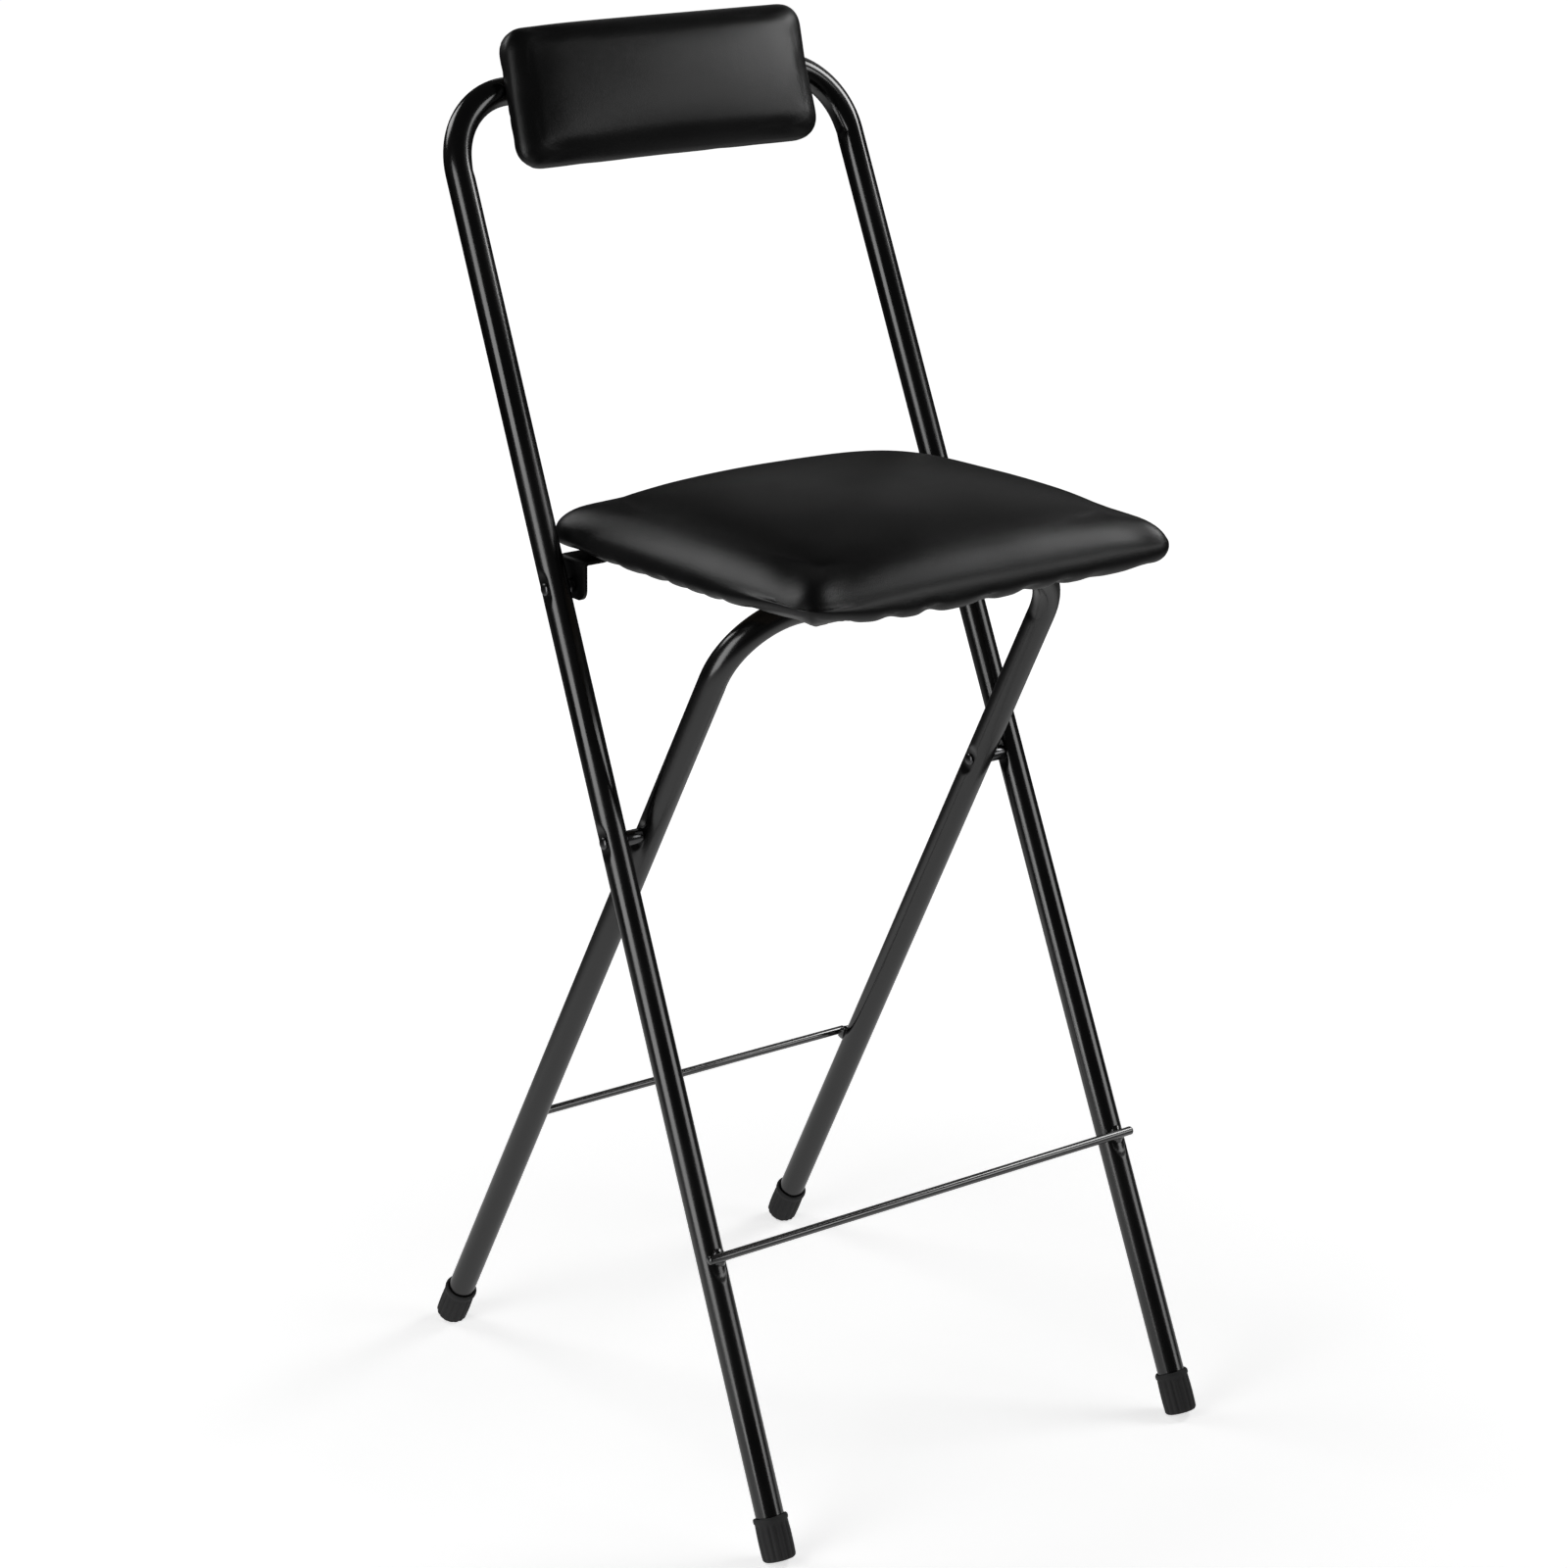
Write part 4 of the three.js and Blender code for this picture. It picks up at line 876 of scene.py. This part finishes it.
def gather(v, p, half):
    # staples under the board pull the skin in at even steps, with darts round each corner
    reach = Vector((v.co.x / half.x, v.co.y / half.y, 0))
    if reach.length < hem["inside"] or v.co.z > p["gatherTop"] + hem["beyond"]:
        return
    out = Vector((v.co.x / half.x ** 2, v.co.y / half.y ** 2, 0)).normalized()
    bearing = math.atan2(reach.y, reach.x)
    wander = noise.noise(Vector((math.cos(bearing), math.sin(bearing), seed)) * 2.2)
    wave = math.cos(bearing * p["gathers"] + wander * 5)
    uneven = 0.65 + 0.7 * noise.noise(Vector((math.cos(bearing) * 4, math.sin(bearing) * 4, seed + 3)))
    low = eased(max(0, 1 - max(0, v.co.z) / p["gatherTop"]))
    ahead = clamped(0.5 + 6 * (abs(reach.y) - abs(reach.x)))
    share = p["sideShare"] + (1 - p["sideShare"]) * ahead
    pull = (0.5 + 0.5 * wave) ** 2 * uneven * low * share * p["gatherDepth"]
    edge = hemShare(reach.x, reach.y)
    v.co -= out * pull * edge
    v.co.z += pull * hem["rise"] * edge if v.co.z < hem["flatBelow"] else 0
    # darts
    corner = Vector((math.copysign(half.x, v.co.x), math.copysign(half.y, v.co.y), 0))
    diagonal = corner.normalized()
    off = Vector((v.co.x, v.co.y, 0)) - corner
    across = off.cross(diagonal).z
    along = (v.co - corner).length
    if along < p["dartReach"]:
        fade = (1 - along / p["dartReach"]) ** 0.8
        for k in range(-p["darts"], p["darts"] + 1):
            line = across - k * p["dartSpread"] / p["darts"]
            deep = 1 if k % 2 else 0.6  # every second dart is shallower
            v.co -= out * p["dartDepth"] * fade * math.exp(-(line / p["dartWide"]) ** 2) * deep


def makeCushion(p, name):
    toWorld, half = localFrame(p)
    bm = coverForm(p)
    bm.normal_update()
    for v in bm.verts:
        v.co -= v.normal * p["shrink"] * min(1, v.co.z / p["freeAbove"])
    mesh = bpy.data.meshes.new(name)
    bm.to_mesh(mesh)
    bm.free()
    mesh = swell(mesh, p)
    bm = bmesh.new()
    bm.from_mesh(mesh)
    for v in bm.verts:
        settle(v, p)
        gather(v, p, half)
        if v.co.z > drift["above"]:
            at = Vector((v.co.x * drift["scale"], v.co.y * drift["scale"], seed + v.co.z * drift["scaleUp"]))
            v.co.z += noise.noise(at) * p["sag"]
    bm.to_mesh(mesh)
    bm.free()
    # the board's pocket
    board = bmesh.new()
    board.from_mesh(frame["nodes"][p["board"]].data)
    bmesh.ops.transform(board, matrix=toWorld.inverted(), verts=board.verts)
    hull = bmesh.ops.convex_hull(board, input=board.verts)
    loose = [g for g in hull["geom_interior"] + hull["geom_unused"] if isinstance(g, bmesh.types.BMVert)]
    bmesh.ops.delete(board, geom=loose, context="VERTS")
    gap = pocket["gap"]
    for v in board.verts:
        v.co.x += math.copysign(gap, v.co.x)
        v.co.y += math.copysign(gap, v.co.y)
        v.co.z += gap if v.co.z > half.z / 2 else pocket["open"]
    bmesh.ops.recalc_face_normals(board, faces=board.faces)
    boardMesh = bpy.data.meshes.new("pocketForm")
    board.to_mesh(boardMesh)
    board.free()
    obj, cutter = scratch(mesh, "cushionSkin"), scratch(boardMesh, "pocketForm")
    cut = obj.modifiers.new("pocket", "BOOLEAN")
    cut.operation = "DIFFERENCE"
    cut.solver = "EXACT"
    cut.object = cutter
    done = meshOf(obj)
    discard(obj)
    discard(cutter)
    bm = bmesh.new()
    bm.from_mesh(done)
    bmesh.ops.transform(bm, matrix=toWorld, verts=bm.verts)
    shadeForm(bm, 50)
    bm.to_mesh(done)
    bm.free()
    piece = placePiece(done, name, p["body"], [seatSkin], [p["node"]])
    print(name, "done", len(done.polygons), "faces")


makeCushion(seatPad, "seatCushion")
makeCushion(backPad, "backrestCushion")

# what keeps its CAD shape gets its finish
finishes = {"front_paint": glossPaint, "rear_paint": glossPaint, "fastener": rivetSteel, "rubber": footRubber,
            "nylon": nylon, "plywood": plywood, "leatherette": seatSkin}
for name, node in frame["nodes"].items():
    material = finishes[slots[name]]
    node.data.materials.clear()
    node.data.materials.append(material)

# soft panels round the stool, azimuth 0 in front of it, each turned to a height on its axis
panels = {"keyPanel": {"azimuth": -80, "distance": 1.8, "height": 0.88, "size": (0.95, 1.76), "radiance": 2.6,
                       "aim": 0.8},
          "backPanel": {"azimuth": -155, "distance": 2.0, "height": 2.0, "size": (1.1, 0.9), "radiance": 3.0,
                        "aim": 0.8},
          "fillPanel": {"azimuth": 42, "distance": 8.0, "height": 2.85, "size": (4.4, 3.1), "radiance": 2.2,
                        "aim": 0.6},
          "highPanel": {"azimuth": 76, "distance": 1.9, "height": 2.08, "size": (0.9, 0.76), "radiance": 6.6,
                        "aim": 1.0},
          "rearPanel": {"azimuth": 132, "distance": 1.9, "height": 1.8, "size": (1.7, 0.8), "radiance": 0.3,
                        "aim": 1.0}}


def makePanel(name, p):
    turned = math.radians(p["azimuth"])
    data = bpy.data.lights.new(name, "AREA")
    data.shape = "RECTANGLE"
    data.size, data.size_y = p["size"]
    data.energy = p["radiance"] * math.pi * p["size"][0] * p["size"][1]
    lamp = bpy.data.objects.new(name, data)
    bpy.context.collection.objects.link(lamp)
    lamp.location = (math.sin(turned) * p["distance"], -math.cos(turned) * p["distance"], p["height"])
    lamp.rotation_mode = "QUATERNION"
    lamp.rotation_quaternion = (Vector((0, 0, p["aim"])) - lamp.location).to_track_quat("-Z", "Y")


for name, values in panels.items():
    makePanel(name, values)
print("lamps done")


# "seen" is what a camera ray gets, "lit" what every other ray gets
sky = {"seen": 1.0, "lit": 0.03}
ground = {"half": 12, "seen": 0.9, "lit": 0.3, "roughness": 0.9, "glowNear": 0.64, "glowFrom": 0.4, "glowTo": 2.2,
          "tableGlow": 0.4, "tableFrom": 0.7, "tableTo": 1.5}


def byRay(tree, shown, other):
    # one value for camera rays, another for the rest
    path = addNode(tree, "ShaderNodeLightPath")
    level = addNode(tree, "ShaderNodeMapRange", {"To Min": other, "To Max": shown})
    tree.links.new(path.outputs["Is Camera Ray"], level.inputs["Value"])
    return level.outputs["Result"]


world = bpy.data.worlds.new("studio")
scene.world = world
world.use_nodes = True
backdrop = world.node_tree.nodes["Background"]
backdrop.inputs["Color"].default_value = (1, 1, 1, 1)
world.node_tree.links.new(byRay(world.node_tree, sky["seen"], sky["lit"]), backdrop.inputs["Strength"])


def makeFloor(p):
    bm = bmesh.new()
    bmesh.ops.create_grid(bm, x_segments=1, y_segments=1, size=p["half"])
    mesh = bpy.data.meshes.new("floor")
    bm.to_mesh(mesh)
    bm.free()
    floor = bpy.data.objects.new("floor", mesh)
    bpy.context.collection.objects.link(floor)
    m = bpy.data.materials.new("paleFloor")
    m.use_nodes = True
    t = m.node_tree
    shader = t.nodes["Principled BSDF"]
    shader.inputs["Roughness"].default_value = p["roughness"]
    shader.inputs["Specular IOR Level"].default_value = 0.0
    shade = addNode(t, "ShaderNodeCombineColor")
    level = byRay(t, p["seen"], p["lit"])
    for channel in ("Red", "Green", "Blue"):
        t.links.new(level, shade.inputs[channel])
    t.links.new(shade.outputs["Color"], shader.inputs["Base Color"])
    shader.inputs["Emission Color"].default_value = (1, 1, 1, 1)
    place = addNode(t, "ShaderNodeTexCoord")
    away = addNode(t, "ShaderNodeVectorMath", operation="LENGTH")
    t.links.new(place.outputs["Object"], away.inputs[0])
    # for the camera the floor stays white to the horizon, in reflections it ends like a studio table
    own = addNode(t, "ShaderNodeMapRange", {"From Min": p["glowFrom"], "From Max": p["glowTo"],
                                            "To Min": p["glowNear"], "To Max": 1.0})
    table = addNode(t, "ShaderNodeMapRange", {"From Min": p["tableFrom"], "From Max": p["tableTo"],
                                              "To Min": p["tableGlow"], "To Max": 0.0})
    t.links.new(away.outputs["Value"], own.inputs["Value"])
    t.links.new(away.outputs["Value"], table.inputs["Value"])
    shown = addNode(t, "ShaderNodeMix")
    t.links.new(byRay(t, 1.0, 0.0), shown.inputs["Factor"])
    t.links.new(table.outputs["Result"], shown.inputs["A"])
    t.links.new(own.outputs["Result"], shown.inputs["B"])
    t.links.new(shown.outputs[0], shader.inputs["Emission Strength"])
    mesh.materials.append(m)


makeFloor(ground)
print("floor done")

scene.view_settings.view_transform = "Standard"
